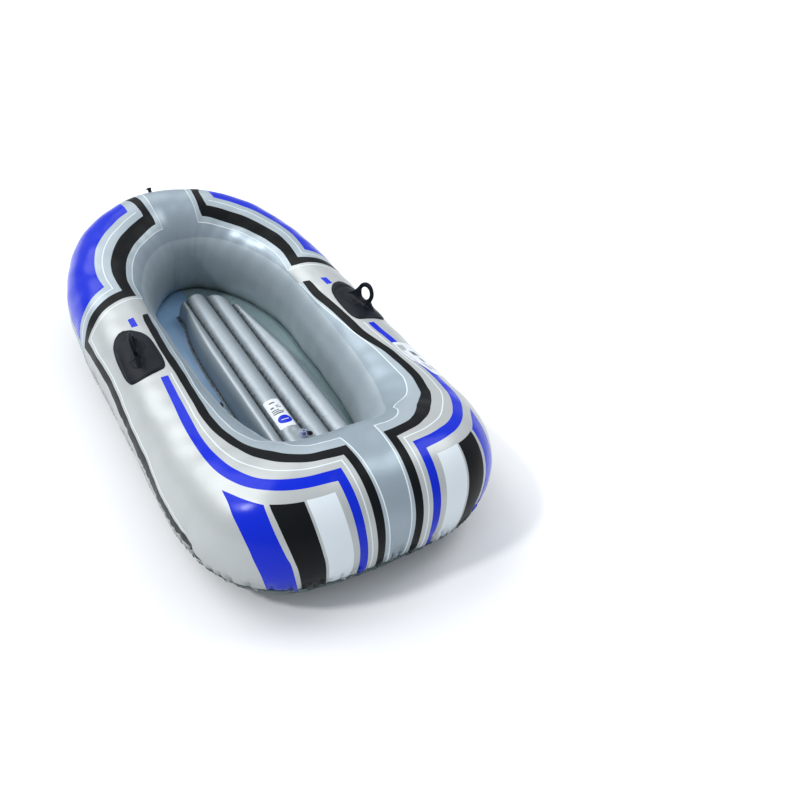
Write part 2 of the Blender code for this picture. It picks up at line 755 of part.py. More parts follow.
def curve_to_mesh(curve_object, collection):
    """Turn a curve object into a closed mesh object, so that it can be joined to another."""
    collection.objects.link(curve_object)
    bpy.context.view_layer.update()
    evaluated = curve_object.evaluated_get(bpy.context.evaluated_depsgraph_get())
    mesh = bpy.data.meshes.new_from_object(evaluated)
    tidy = bmesh.new()
    tidy.from_mesh(mesh)
    bmesh.ops.remove_doubles(tidy, verts=tidy.verts, dist=0.00001)
    bmesh.ops.recalc_face_normals(tidy, faces=tidy.faces)
    tidy.to_mesh(mesh)
    tidy.free()
    name = curve_object.name
    matrix = curve_object.matrix_world.copy()
    bpy.data.objects.remove(curve_object, do_unlink=True)
    obj = bpy.data.objects.new(name, mesh)
    obj.matrix_world = matrix
    collection.objects.link(obj)
    return obj


def add_hull_label(material, collection):
    """White label on the starboard quarter, laid on the skin."""
    vertices = []
    columns, rows = HULL_LABEL_STEPS
    for turn, edge in zip(np.linspace(*HULL_LABEL_TURN, columns), np.linspace(*HULL_LABEL_EDGE, columns)):
        for girth in np.linspace(edge, edge - HULL_LABEL_WIDTH, rows):
            vertices.append(hull_point(turn, girth, LABEL_LIFT)[0])
    obj = add_mesh("hull_label", vertices, grid_faces(columns, rows), material, collection)
    add_thickness(obj, LABEL_THICK, 1.0)
    return obj


def add_floor_label(material, collection):
    """White label over the crest of one floor beam."""
    first, last = FLOOR_LABEL_STEPS
    vertices = []
    for step in range(first, last + 1):
        for y in FLOOR_LABEL_Y:
            point = floor_surface(FLOOR_LABEL_BEAM, step, y)
            vertices.append(point + Vector((0, 0, LABEL_LIFT)))
    obj = add_mesh("floor_label", vertices, grid_faces(last - first + 1, 2), material, collection)
    add_thickness(obj, LABEL_THICK, 1.0)
    return obj


def build_boat():
    clear_scene()
    boat = make_collection("inflatable_boat")
    guides = make_collection("guides")
    printed = make_material("printed_vinyl", (0.56, 0.62, 0.63), 0.35)
    wall = make_material("plain_vinyl", (0.36, 0.43, 0.46), 0.38)
    bottom = make_material("bottom_vinyl", (0.03, 0.07, 0.08), 0.45)
    floor = make_material("floor_vinyl", (0.50, 0.56, 0.57), 0.33)
    base = make_material("floor_base_vinyl", (0.08, 0.16, 0.24), 0.40)
    inside = make_material("inside_vinyl", (0.45, 0.48, 0.50), 0.50)
    rubber = make_material("black_rubber", (0.012, 0.013, 0.016), 0.42)
    label = make_material("label_film", (0.80, 0.82, 0.83), 0.30)
    clear = make_material("clear_vinyl", (0.45, 0.50, 0.70), 0.15, 0.6)
    cap = make_material("cap_rubber", (0.015, 0.016, 0.018), 0.35)
    valve_materials = {"clear": clear, "cap": cap}

    top_skin = add_ring_sheet("hull_top_skin", top_skin_girths, printed, boat)
    inner_wall = add_ring_sheet("hull_inner_wall", inner_wall_girths, wall, boat)
    add_bottom_sheet(bottom, boat)
    add_divider(inside, boat)
    add_floor_base(base, boat)
    floor_top = add_floor_top(floor, boat)
    add_floor_webs(inside, boat)
    hull_block = add_ring_sheet("hull_block", top_skin_girths, rubber, guides, PAD_LIFT,
                                HULL_BLOCK_THICK)
    add_oarlock("port", -1, hull_block, rubber, boat, guides)
    add_oarlock("starboard", 1, hull_block, rubber, boat, guides)
    add_hull_label(label, boat)
    add_floor_label(label, boat)

    near = hull_point(BOW_VALVE_TURN, BOW_VALVE_GIRTH)[0]
    frame = sheet_frame(top_skin, near, Vector((-1, 0, 0)))
    add_valve("bow_valve", frame, top_skin, valve_materials, boat, guides)
    near = hull_point(WALL_VALVE_TURN, WALL_VALVE_GIRTH)[0]
    frame = sheet_frame(inner_wall, near, Vector((0, 0, 1)))
    add_valve("wall_valve", frame, inner_wall, valve_materials, boat, guides)
    near = Vector((*FLOOR_VALVE_AT, VALVE_PAD_TOP))
    frame = sheet_frame(floor_top, near, Vector((*FLOOR_STRAP_WAY, 0)))
    add_valve("floor_valve", frame, floor_top, valve_materials, boat, guides, FLOOR_CAP_OPEN)


build_boat()
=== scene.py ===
import json
import math
import random
from bisect import bisect
from contextlib import contextmanager

import bmesh
import bpy
import numpy as np
from mathutils import Matrix, Vector
from mathutils.geometry import delaunay_2d_cdt


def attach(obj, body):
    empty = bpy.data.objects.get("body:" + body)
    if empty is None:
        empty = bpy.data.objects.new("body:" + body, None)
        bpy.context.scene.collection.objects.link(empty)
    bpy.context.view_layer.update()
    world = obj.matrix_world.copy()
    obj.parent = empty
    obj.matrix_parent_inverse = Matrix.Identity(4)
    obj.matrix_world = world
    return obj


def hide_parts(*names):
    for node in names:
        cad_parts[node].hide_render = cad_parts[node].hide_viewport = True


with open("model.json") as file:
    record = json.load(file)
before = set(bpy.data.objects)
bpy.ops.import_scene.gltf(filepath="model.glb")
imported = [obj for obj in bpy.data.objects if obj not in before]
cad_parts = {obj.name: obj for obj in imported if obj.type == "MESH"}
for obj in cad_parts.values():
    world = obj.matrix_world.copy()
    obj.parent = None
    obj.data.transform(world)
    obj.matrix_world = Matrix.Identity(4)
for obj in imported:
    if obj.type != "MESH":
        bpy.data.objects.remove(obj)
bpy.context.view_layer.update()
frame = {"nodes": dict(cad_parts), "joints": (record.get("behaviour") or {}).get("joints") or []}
print("frame loaded:", len(frame["nodes"]), "nodes")

# The hull's plan and section, in metres and degrees, as the frame has them
hull = {
    "bowReach": 0.688, "sternReach": 0.896, "sideReach": 0.352,
    "bowFullness": 2.25, "sternFullness": 4.75, "sideTaper": 0.047,
    "outerReach": (0.119, 0.158, 0.138, 0.183, 0.177),
    "innerReach": (0.185, 0.169, 0.123, 0.207, 0.204),
    "halfHeight": (0.198, 0.180, 0.155, 0.175, 0.191),
    "sectionFullness": 2.2, "footFullness": 2.8,
    "cornerStart": math.radians(122), "cornerEnd": math.radians(178),
    "sheet": 0.0008, "gap": 0.0003,
    "hemLow": math.radians(-28), "hemTop": math.radians(-22.5),
    "sideSeam": math.radians(132), "bowSeamExtra": math.radians(25),
    "wallFoot": math.radians(264),
}
hull["lapStep"] = hull["sheet"] + hull["gap"]
hull["bow"] = hull["bowReach"] + hull["outerReach"][0]
hull["middle"] = (hull["bow"] - hull["sternReach"] - hull["outerReach"][4]) / 2


def cosineSeries(values):
    # weights of the smooth curve through five sizes, bow to stern
    angles = np.radians([0, 45, 90, 135, 180])
    return np.linalg.solve(np.cos(np.outer(angles, np.arange(5))), np.array(values))


outerSeries = cosineSeries(hull["outerReach"])
innerSeries = cosineSeries(hull["innerReach"])
heightSeries = cosineSeries(hull["halfHeight"])


def alongRing(series, turn):
    return sum(weight * math.cos(order * turn) for order, weight in enumerate(series))


def signedPower(value, power):
    return math.copysign(abs(value) ** power, value)


def ringFrame(turn):
    # centre of the section and its outward direction; turn 0 is the bow
    forward = math.cos(turn)
    side = math.copysign(1.0, math.sin(turn))
    across = max(abs(math.sin(turn)), 1e-9)
    fullness = hull["bowFullness"] if forward > 0 else hull["sternFullness"]
    reach = hull["bowReach"] if forward > 0 else hull["sternReach"]
    u = across ** (2 / fullness)
    v = signedPower(forward, 2 / fullness)
    width = hull["sideReach"] * (1 + hull["sideTaper"] * v)
    outX = u ** (fullness - 1) / width
    lean = u ** fullness * hull["sideTaper"] / (1 + hull["sideTaper"] * v)
    outY = signedPower(v, fullness - 1) / reach - lean
    length = math.hypot(outX, outY)
    centre = Vector((width * u * side, reach * v - hull["middle"], 0))
    return centre, Vector((outX / length * side, outY / length, 0))


def offsetInward(turn):
    centre, outward = ringFrame(turn)
    return centre - outward * alongRing(innerSeries, turn)


def cornerCurve():
    # the curve that rounds the cockpit's starboard stern corner
    start, end = offsetInward(hull["cornerStart"]), offsetInward(hull["cornerEnd"])
    into = start - offsetInward(hull["cornerStart"] - 0.001)
    outOf = end - offsetInward(hull["cornerEnd"] - 0.001)
    across = into.x * outOf.y - into.y * outOf.x
    gap = end - start
    share = (gap.x * outOf.y - gap.y * outOf.x) / across
    return start, start + into * share, end


def runAlong(points):
    steps = np.linalg.norm(np.diff(np.array(points), axis=0), axis=1)
    return np.concatenate(([0], np.cumsum(steps)))


corner = cornerCurve()
cornerTurns = np.linspace(hull["cornerStart"], hull["cornerEnd"], 200)
cornerRun = runAlong([ringFrame(turn)[0] for turn in cornerTurns])
cornerRun = cornerRun / cornerRun[-1]


def innermost(turn):
    folded = math.remainder(turn, 2 * math.pi)
    if not hull["cornerStart"] < abs(folded) < hull["cornerEnd"]:
        return offsetInward(turn)
    share = float(np.interp(abs(folded), cornerTurns, cornerRun))
    start, control, end = corner
    point = start * (1 - share) ** 2 + control * 2 * share * (1 - share) + end * share ** 2
    return Vector((math.copysign(point.x, folded), point.y, 0))


def hullPoint(turn, girth, lift=0.0):
    # girth 0 is outboard, 90 degrees the crest, 180 the cockpit side
    centre, outward = ringFrame(turn)
    cosine, sine = math.cos(girth), math.sin(girth)
    fullness = hull["footFullness"] if cosine < 0 and sine < 0 else hull["sectionFullness"]
    reach = alongRing(outerSeries, turn)
    if cosine < 0:
        outward = centre - innermost(turn)
        reach = outward.length
        outward = outward / reach
    height = alongRing(heightSeries, turn)
    off = outward * (reach * signedPower(cosine, 2 / fullness))
    up = height + height * signedPower(sine, 2 / fullness) + hull["lapStep"]
    normal = outward * (signedPower(cosine, 2 - 2 / fullness) / reach)
    normal = normal + Vector((0, 0, signedPower(sine, 2 - 2 / fullness) / height))
    normal.normalize()
    return centre + off + Vector((0, 0, up)) + normal * lift, normal


def seamGirth(turn):
    return hull["sideSeam"] + hull["bowSeamExtra"] * max(0.0, math.cos(turn)) ** 1.8


# Distance along the crest from the bow, and girth in metres outboard of the crest. The turns are close
# together at the flat stern and at the straight side, where a small turn goes a long way
tables = {
    "crestTurns": 1201, "sternCrowding": 2.375, "besideSide": (0.000001, 0.01), "sideTurns": 120,
    "girths": (-30, 172), "girthAngles": 203, "girthTurns": 121,
}
crestTurns = math.pi * (1 - np.linspace(1, 0, tables["crestTurns"]) ** tables["sternCrowding"])
nearSide = np.geomspace(*tables["besideSide"], tables["sideTurns"])
crestTurns = np.unique(np.concatenate((crestTurns, math.pi / 2 - nearSide, math.pi / 2 + nearSide)))
crestRun = runAlong([hullPoint(turn, math.pi / 2)[0] for turn in crestTurns])
halfRun = float(crestRun[-1])
girthAngles = np.radians(np.linspace(*tables["girths"], tables["girthAngles"]))
girthTurns = np.linspace(0, math.pi, tables["girthTurns"])


def girthTable():
    table = []
    for turn in girthTurns:
        run = runAlong([hullPoint(turn, angle)[0] for angle in girthAngles])
        table.append(np.interp(math.pi / 2, girthAngles, run) - run)
    return np.array(table)


girthMetres = girthTable()


def girthRow(turn):
    place = turn / math.pi * (len(girthTurns) - 1)
    low = min(int(place), len(girthTurns) - 2)
    return girthMetres[low] + (girthMetres[low + 1] - girthMetres[low]) * (place - low)


def toGirthMetres(turn, girth):
    return float(np.interp(girth, girthAngles, girthRow(turn)))


def toAngles(run, across):
    turn = float(np.interp(run, crestRun, crestTurns))
    return turn, float(np.interp(-across, -girthRow(turn), girthAngles))


# Pleats where a curved sheet is drawn into a weld, and soft swells between
pleatRecipes = {
    "hem": {"spacing": 0.018, "reach": 0.048, "depth": 0.0170, "seed": 5},
    "seam": {"spacing": 0.042, "reach": 0.026, "depth": 0.0002, "seed": 11},
    "foot": {"spacing": 0.024, "reach": 0.060, "depth": 0.0050, "seed": 23},
}
pleatShape = {
    "strengths": (0.4, 0.5, 0.7, 1.0), "unevenStrength": (0.8, 1.2), "unevenSpacing": (0.6, 1.5),
    "width": 0.0028, "widening": 0.07, "leastReach": 0.45, "addedReach": 0.55, "fade": 1.5,
    "pillow": 0.12, "pillowRound": 0.8, "pillowFade": 1.6, "neighbours": 3,
}
girthRadius = 0.17  # turns an angle of girth into metres


def scatterPleats(spacing, reach, depth, seed):
    dice = random.Random(seed)
    spots = []
    place = -halfRun
    while place < halfRun - spacing / 2:
        strength = dice.choice(pleatShape["strengths"]) * dice.uniform(*pleatShape["unevenStrength"])
        spots.append((place, strength))
        place += spacing * dice.uniform(*pleatShape["unevenSpacing"])
    lap = 2 * halfRun
    before = [(at - lap, strength) for at, strength in spots[-4:]]
    after = [(at + lap, strength) for at, strength in spots[:4]]
    places, strengths = zip(*before, *spots, *after)
    return {"places": places, "strengths": strengths, "reach": reach, "depth": depth}


pleatSets = {name: scatterPleats(**recipe) for name, recipe in pleatRecipes.items()}


def pleatLift(pleats, run, away):
    # narrow valleys that widen and fade away from the weld, with a soft pillow between two of them
    shape = pleatShape
    places, depth, reach = pleats["places"], pleats["depth"], pleats["reach"]
    after = min(max(bisect(places, run), 1), len(places) - 1)
    width = shape["width"] + shape["widening"] * away
    first, last = after - shape["neighbours"], after + shape["neighbours"]
    lift = 0.0
    for index in range(max(0, first), min(len(places), last)):
        strength = pleats["strengths"][index]
        far = reach * (shape["leastReach"] + shape["addedReach"] * strength)
        fade = math.exp(-(away / far) ** shape["fade"])
        lift -= depth * strength * fade * math.exp(-((run - places[index]) / width) ** 2)
    share = (run - places[after - 1]) / max(places[after] - places[after - 1], 1e-6)
    pillow = math.sin(math.pi * min(1.0, max(0.0, share))) ** shape["pillowRound"]
    return lift + depth * shape["pillow"] * pillow * math.exp(-away / reach * shape["pillowFade"])


def smoothStep(low, high, value):
    share = min(1.0, max(0.0, (value - low) / (high - low)))
    return share * share * (3 - 2 * share)


def signedRun(turn):
    folded = math.remainder(turn, 2 * math.pi)
    return math.copysign(float(np.interp(abs(folded), crestTurns, crestRun)), folded)


# The rest of the film's relief: the welds' own grooves, slow swells of which each has a height, waves
# round the ring, a lean and a start, and where the film fades to flat, by girth and round two valves
film = {
    "hemQuiet": 0.2, "hemFull": 0.012, "hemGroove": (0.0012, 0.009), "seamGroove": (0.0002, 0.008),
    "swells": ((0.0008, 13, 2.3, 0.0), (0.0008, 21, -3.1, 1.3), (0.0005, 45, 5.0, 0.0)),
    "lowFade": (-76, -48), "footFade": (222, 240), "valves": ((-5.2, 67), (-96.8, 172)),
    "valveFade": (0.018, 0.045),
}
for name in ("lowFade", "footFade", "valves"):
    film[name] = np.radians(film[name]).tolist()


def relief(turn, girth):
    run = signedRun(turn)
    hem = abs(girth - hull["hemTop"]) * girthRadius
    seam = abs(girth - seamGirth(turn)) * girthRadius
    awake = film["hemQuiet"] + (1 - film["hemQuiet"]) * smoothStep(0.0, film["hemFull"], hem)
    lift = pleatLift(pleatSets["hem"], run, hem) * awake + pleatLift(pleatSets["seam"], run, seam)
    for away, (depth, width) in ((hem, film["hemGroove"]), (seam, film["seamGroove"])):
        lift -= depth * math.exp(-(away / width) ** 2)
    lap = math.pi * run / halfRun
    for height, waves, lean, start in film["swells"]:
        lift += height * math.sin(lap * waves + girth * lean + start)
    fade = smoothStep(*film["lowFade"], girth) * (1 - smoothStep(*film["footFade"], girth))
    for valveTurn, valveGirth in film["valves"]:
        away = math.hypot(run - signedRun(valveTurn), (girth - valveGirth) * girthRadius)
        fade *= smoothStep(*film["valveFade"], away)
    return lift * fade


def softHullPoint(turn, girth, lift=0.0):
    return hullPoint(turn, girth, lift + relief(turn, girth))[0]


print("hull ready:", round(halfRun, 3), "m along half the crest")


# Colours are sRGB hex values
def linearColour(hexColour, alpha=1.0):
    shares = [int(hexColour[i:i + 2], 16) / 255 for i in (1, 3, 5)]
    return (*[c / 12.92 if c <= 0.04045 else ((c + 0.055) / 1.055) ** 2.4 for c in shares], alpha)


def addNode(tree, kind, values=None, links=None, **settings):
    node = tree.nodes.new(kind)
    for name, value in settings.items():
        setattr(node, name, value)
    for name, value in (values or {}).items():
        node.inputs[name].default_value = value
    for name, source in (links or {}).items():
        tree.links.new(source, node.inputs[name])
    return node


def startMaterial(name, ior, gloss=0.5):
    # a new material, its node tree, its shader and the place on the piece
    material = bpy.data.materials.new(name)
    material.use_nodes = True
    tree = material.node_tree
    shader = tree.nodes["Principled BSDF"]
    shader.inputs["IOR"].default_value = ior
    shader.inputs["Specular IOR Level"].default_value = gloss
    return material, tree, shader, addNode(tree, "ShaderNodeTexCoord").outputs["Object"]


# Calendered PVC film, IOR 1.53: satin, with a fine leather-like grain (drawn 1.6 mm wide, so that
# it shows close up), slow waves where the film is slack, and a duller tone along its welds: dust, and
# painted shade where the welds lie in hollows or low down
vinylFinish = {
    "grain": 0.0016, "grainDepth": 0.00006, "wave": 0.034, "waveDepth": 0.0007,
    "mottle": 0.090, "speck": 0.0125, "ior": 1.53, "dustAndShade": "#3e4746",
}


def makeVinyl(name, colour, shade, roughness=0.36, metallic=0.0, gloss=0.5, dustAndShade=vinylFinish["dustAndShade"]):
    material, tree, shader, place = startMaterial(name, vinylFinish["ior"], gloss)
    shader.inputs["Metallic"].default_value = metallic
    mottle = addNode(tree, "ShaderNodeTexNoise", {"Scale": 1 / vinylFinish["mottle"], "Detail": 3.0},
                     {"Vector": place}).outputs["Fac"]
    tone = addNode(tree, "ShaderNodeMix", {6: linearColour(colour), 7: linearColour(shade)},
                   {0: mottle}, data_type="RGBA").outputs[2]
    # the weld attribute mixes in the dust-and-shade colour: dust at the welds, and painted shade in the
    # hollows and low parts beside them
    weld = addNode(tree, "ShaderNodeAttribute", attribute_name="weld").outputs["Fac"]
    speck = addNode(tree, "ShaderNodeTexNoise", {"Scale": 1 / vinylFinish["speck"], "Detail": 1.0},
                    {"Vector": place})
    share = addNode(tree, "ShaderNodeMath", {}, {0: weld, 1: speck.outputs["Fac"]}, operation="MULTIPLY")
    dustAndShadeTone = addNode(tree, "ShaderNodeMix", {7: linearColour(dustAndShade)},
                    {0: share.outputs[0], 6: tone}, data_type="RGBA").outputs[2]
    tree.links.new(dustAndShadeTone, shader.inputs["Base Color"])
    satin = addNode(tree, "ShaderNodeMapRange", {3: roughness - 0.04, 4: roughness + 0.05}, {0: mottle})
    tree.links.new(satin.outputs[0], shader.inputs["Roughness"])
    slack = addNode(tree, "ShaderNodeTexNoise", {"Scale": 1 / vinylFinish["wave"], "Detail": 1.5},
                    {"Vector": place})
    waves = addNode(tree, "ShaderNodeBump", {"Distance": vinylFinish["waveDepth"], "Strength": 0.6},
                    {"Height": slack.outputs["Fac"]})
    leather = addNode(tree, "ShaderNodeTexVoronoi", {"Scale": 1 / vinylFinish["grain"]},
                      {"Vector": place}, feature="SMOOTH_F1")
    grain = addNode(tree, "ShaderNodeBump", {"Distance": vinylFinish["grainDepth"], "Strength": 0.5},
                    {"Height": leather.outputs["Distance"], "Normal": waves.outputs["Normal"]})
    tree.links.new(grain.outputs["Normal"], shader.inputs["Normal"])
    return material


vinyl = {
    "pearl": makeVinyl("pearl_silver_pvc_film", "#b0b4b3", "#a7abab", 0.35, 0.25, 0.45),
    "silver": makeVinyl("silver_pvc_film", "#a1adb3", "#98a5ac", 0.36, 0.25, 0.4),
    "steel": makeVinyl("steel_grey_pvc_film", "#919fa8", "#88969f", 0.36, 0.30, 0.4),
    "blue": makeVinyl("blue_screen_ink_on_pvc", "#0621b8", "#0828c2", 0.20, 0.0, 0.13),
    "black": makeVinyl("black_screen_ink_on_pvc", "#0f1113", "#131618", 0.36, 0.0, 0.06),
    "white": makeVinyl("white_screen_ink_on_pvc", "#d3dbe0", "#ccd5da", 0.34),
    "line": makeVinyl("pale_screen_ink_on_pvc", "#d3dde0", "#cbd6da", 0.36),
    "wall": makeVinyl("grey_pvc_film", "#a5b1b7", "#9ca9af", 0.35, 0.34, 0.4),
    # the bottom sheet's weld tone is a lighter grey-green, strongest at its hem
    "bottom": makeVinyl("dark_teal_pvc_film", "#163436", "#12292c", 0.42, 0.0, 0.3, "#6f8280"),
    # the floor's weld tone is a dark grey: painted shade in its welded valleys
    "floor": makeVinyl("silver_floor_pvc_film", "#969fa5", "#8d969c", 0.38, 0.45, 0.5, "#283135"),
    "base": makeVinyl("steel_blue_pvc_film", "#86aacb", "#7ca0c3", 0.40, 0.1),
    "flange": makeVinyl("grey_green_pvc_film", "#7f9598", "#768c8f", 0.40, 0.1),
    "inside": makeVinyl("unprinted_pvc_film", "#a5a9aa", "#9ba0a2", 0.50),
    "label": makeVinyl("white_vinyl_label_film", "#d6dade", "#d0d5d9", 0.30, 0.0, 0.3),
    "rule": makeVinyl("grey_label_ink_on_pvc", "#3c454b", "#464f55", 0.34, 0.0, 0.3),
}


# Carbon-black rubber, IOR 1.52, moulded: soft sheen, fine spark-eroded grain (drawn 1.2 mm wide),
# and a greyer bloom in patches. Scales are waves to the metre
rubberFinish = {"ior": 1.52, "gloss": 0.10, "bloomScale": 38.0, "gritScale": 850.0, "gritDepth": 0.00008}


def makeRubber(name, colour, bloom, roughness):
    material, tree, shader, place = startMaterial(name, rubberFinish["ior"], rubberFinish["gloss"])
    patch = addNode(tree, "ShaderNodeTexNoise", {"Scale": rubberFinish["bloomScale"], "Detail": 4.0},
                    {"Vector": place}).outputs["Fac"]
    tone = addNode(tree, "ShaderNodeMix", {6: linearColour(colour), 7: linearColour(bloom)},
                   {0: patch}, data_type="RGBA")
    satin = addNode(tree, "ShaderNodeMapRange", {3: roughness - 0.06, 4: roughness + 0.08}, {0: patch})
    grit = addNode(tree, "ShaderNodeTexNoise", {"Scale": rubberFinish["gritScale"], "Detail": 2.0},
                   {"Vector": place})
    bump = addNode(tree, "ShaderNodeBump", {"Distance": rubberFinish["gritDepth"], "Strength": 0.6},
                   {"Height": grit.outputs["Fac"]})
    tree.links.new(tone.outputs[2], shader.inputs["Base Color"])
    tree.links.new(satin.outputs[0], shader.inputs["Roughness"])
    tree.links.new(bump.outputs["Normal"], shader.inputs["Normal"])
    return material


# Unfilled soft PVC, IOR 1.54, injection moulded: clear with a blue tint, faint flow marks 6 mm wide
clearFinish = {
    "ior": 1.54, "roughness": 0.14, "clear": 0.70, "flowScale": 160.0, "flowDepth": 0.0002,
    "colour": "#a9bbe6", "streak": "#c4cfea",
}


def makeClearVinyl(name):
    material, tree, shader, place = startMaterial(name, clearFinish["ior"])
    shader.inputs["Roughness"].default_value = clearFinish["roughness"]
    shader.inputs["Transmission Weight"].default_value = clearFinish["clear"]
    flow = addNode(tree, "ShaderNodeTexNoise", {"Scale": clearFinish["flowScale"], "Detail": 3.0},
                   {"Vector": place})
    colours = {6: linearColour(clearFinish["colour"]), 7: linearColour(clearFinish["streak"])}
    tone = addNode(tree, "ShaderNodeMix", colours, {0: flow.outputs["Fac"]}, data_type="RGBA")
    bump = addNode(tree, "ShaderNodeBump", {"Distance": clearFinish["flowDepth"], "Strength": 0.4},
                   {"Height": flow.outputs["Fac"]})
    tree.links.new(tone.outputs[2], shader.inputs["Base Color"])
    tree.links.new(bump.outputs["Normal"], shader.inputs["Normal"])
    return material


padRubber = makeRubber("moulded_black_rubber", "#0a0e13", "#131a22", 0.40)
capRubber = makeRubber("moulded_cap_rubber", "#101112", "#1b1c1f", 0.34)
clearVinyl = makeClearVinyl("clear_blue_pvc")
print("finishes ready")


def addObject(name, data):
    item = bpy.data.objects.new(name, data)
    bpy.context.scene.collection.objects.link(item)
    return item


def addPiece(name, vertices, faces, materials, faceMaterials=None):
    mesh = bpy.data.meshes.new(name)
    mesh.from_pydata([tuple(v) for v in vertices], [], faces)
    for material in materials:
        mesh.materials.append(material)
    if faceMaterials:
        mesh.polygons.foreach_set("material_index", faceMaterials)
    mesh.shade_smooth()
    mesh.update()
    return addObject(name, mesh)


def setWeld(piece, values):
    attribute = piece.data.attributes.new("weld", "FLOAT", "POINT")
    attribute.data.foreach_set("value", np.array(values, np.float32))


@contextmanager
def openMesh(piece):
    # the mesh of a piece, open for edits
    work = bmesh.new()
    work.from_mesh(piece.data)
    yield work
    work.to_mesh(piece.data)
    work.free()


def mergeSeams(piece, distance=0.00001):
    with openMesh(piece) as work:
        bmesh.ops.remove_doubles(work, verts=work.verts, dist=distance)
        bmesh.ops.recalc_face_normals(work, faces=work.faces)


def turnUp(piece, face, up=1):
    # all faces turned so that this one looks up, or down
    if face.normal.z * up < 0:
        piece.data.flip_normals()


def nearestFace(piece, place):
    return min(piece.data.polygons, key=lambda face: (face.center - place).length)


def finishPiece(piece, body, slot, *nodes):
    if nodes:
        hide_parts(*nodes)
    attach(piece, body)


def finishFilm(piece, slot, node, thickness=hull["sheet"]):
    # a sheet given its thickness inward, with crisp rims
    with openMesh(piece) as work:
        for edge in work.edges:
            edge.smooth = edge.smooth and not edge.is_boundary
    modifier = piece.modifiers.new("film", "SOLIDIFY")
    modifier.thickness = thickness
    modifier.offset = -1.0
    modifier.use_even_offset = False
    finishPiece(piece, "boat", slot, node)


def gridFaces(columns, rows, closed=False, flip=False):
    faces = []
    for i in range(columns if closed else columns - 1):
        j = (i + 1) % columns
        for k in range(rows - 1):
            quad = (i * rows + k, j * rows + k, j * rows + k + 1, i * rows + k + 1)
            faces.append(quad[::-1] if flip else quad)
    return faces


def smoothRun(points, step=0.008):
    # a Catmull-Rom curve through given points
    given = [np.array(p, float) for p in points]
    if len(given) == 2:
        count = max(1, round(float(np.linalg.norm(given[1] - given[0])) / step))
        return [given[0] + (given[1] - given[0]) * i / count for i in range(count + 1)]
    padded = [2 * given[0] - given[1], *given, 2 * given[-1] - given[-2]]
    run = []
    for a, b, c, d in zip(padded, padded[1:], padded[2:], padded[3:]):
        count = max(1, round(float(np.linalg.norm(c - b)) / step))
        for i in range(count):
            t = i / count
            run.append(0.5 * (2 * b + (c - a) * t + (2 * a - 5 * b + 4 * c - d) * t * t
                              + (3 * b - a - 3 * c + d) * t ** 3))
    run.append(given[-1])
    return run


def closedOutline(*runs):
    # smooth runs that meet at corners
    line = []
    for run in runs:
        line.extend(smoothRun(run)[:-1])
    return line


def thinStripe(width, *runs, sharpest=0.4):
    # a line of even width along smooth runs, with mitred corners that no bend makes endless
    line = closedOutline(*runs) + [np.array(runs[-1][-1], float)]
    steps = [b - a for a, b in zip(line, line[1:])]
    steps = [step / np.linalg.norm(step) for step in steps]
    left, right = [], []
    for i, point in enumerate(line):
        before, after = steps[max(i - 1, 0)], steps[min(i, len(steps) - 1)]
        across = np.array((-before[1] - after[1], before[0] + after[0]))
        across = across / max(np.dot(across, (-before[1], before[0])), sharpest)
        left.append(point + across * width / 2)
        right.append(point - across * width / 2)
    return left + right[::-1]


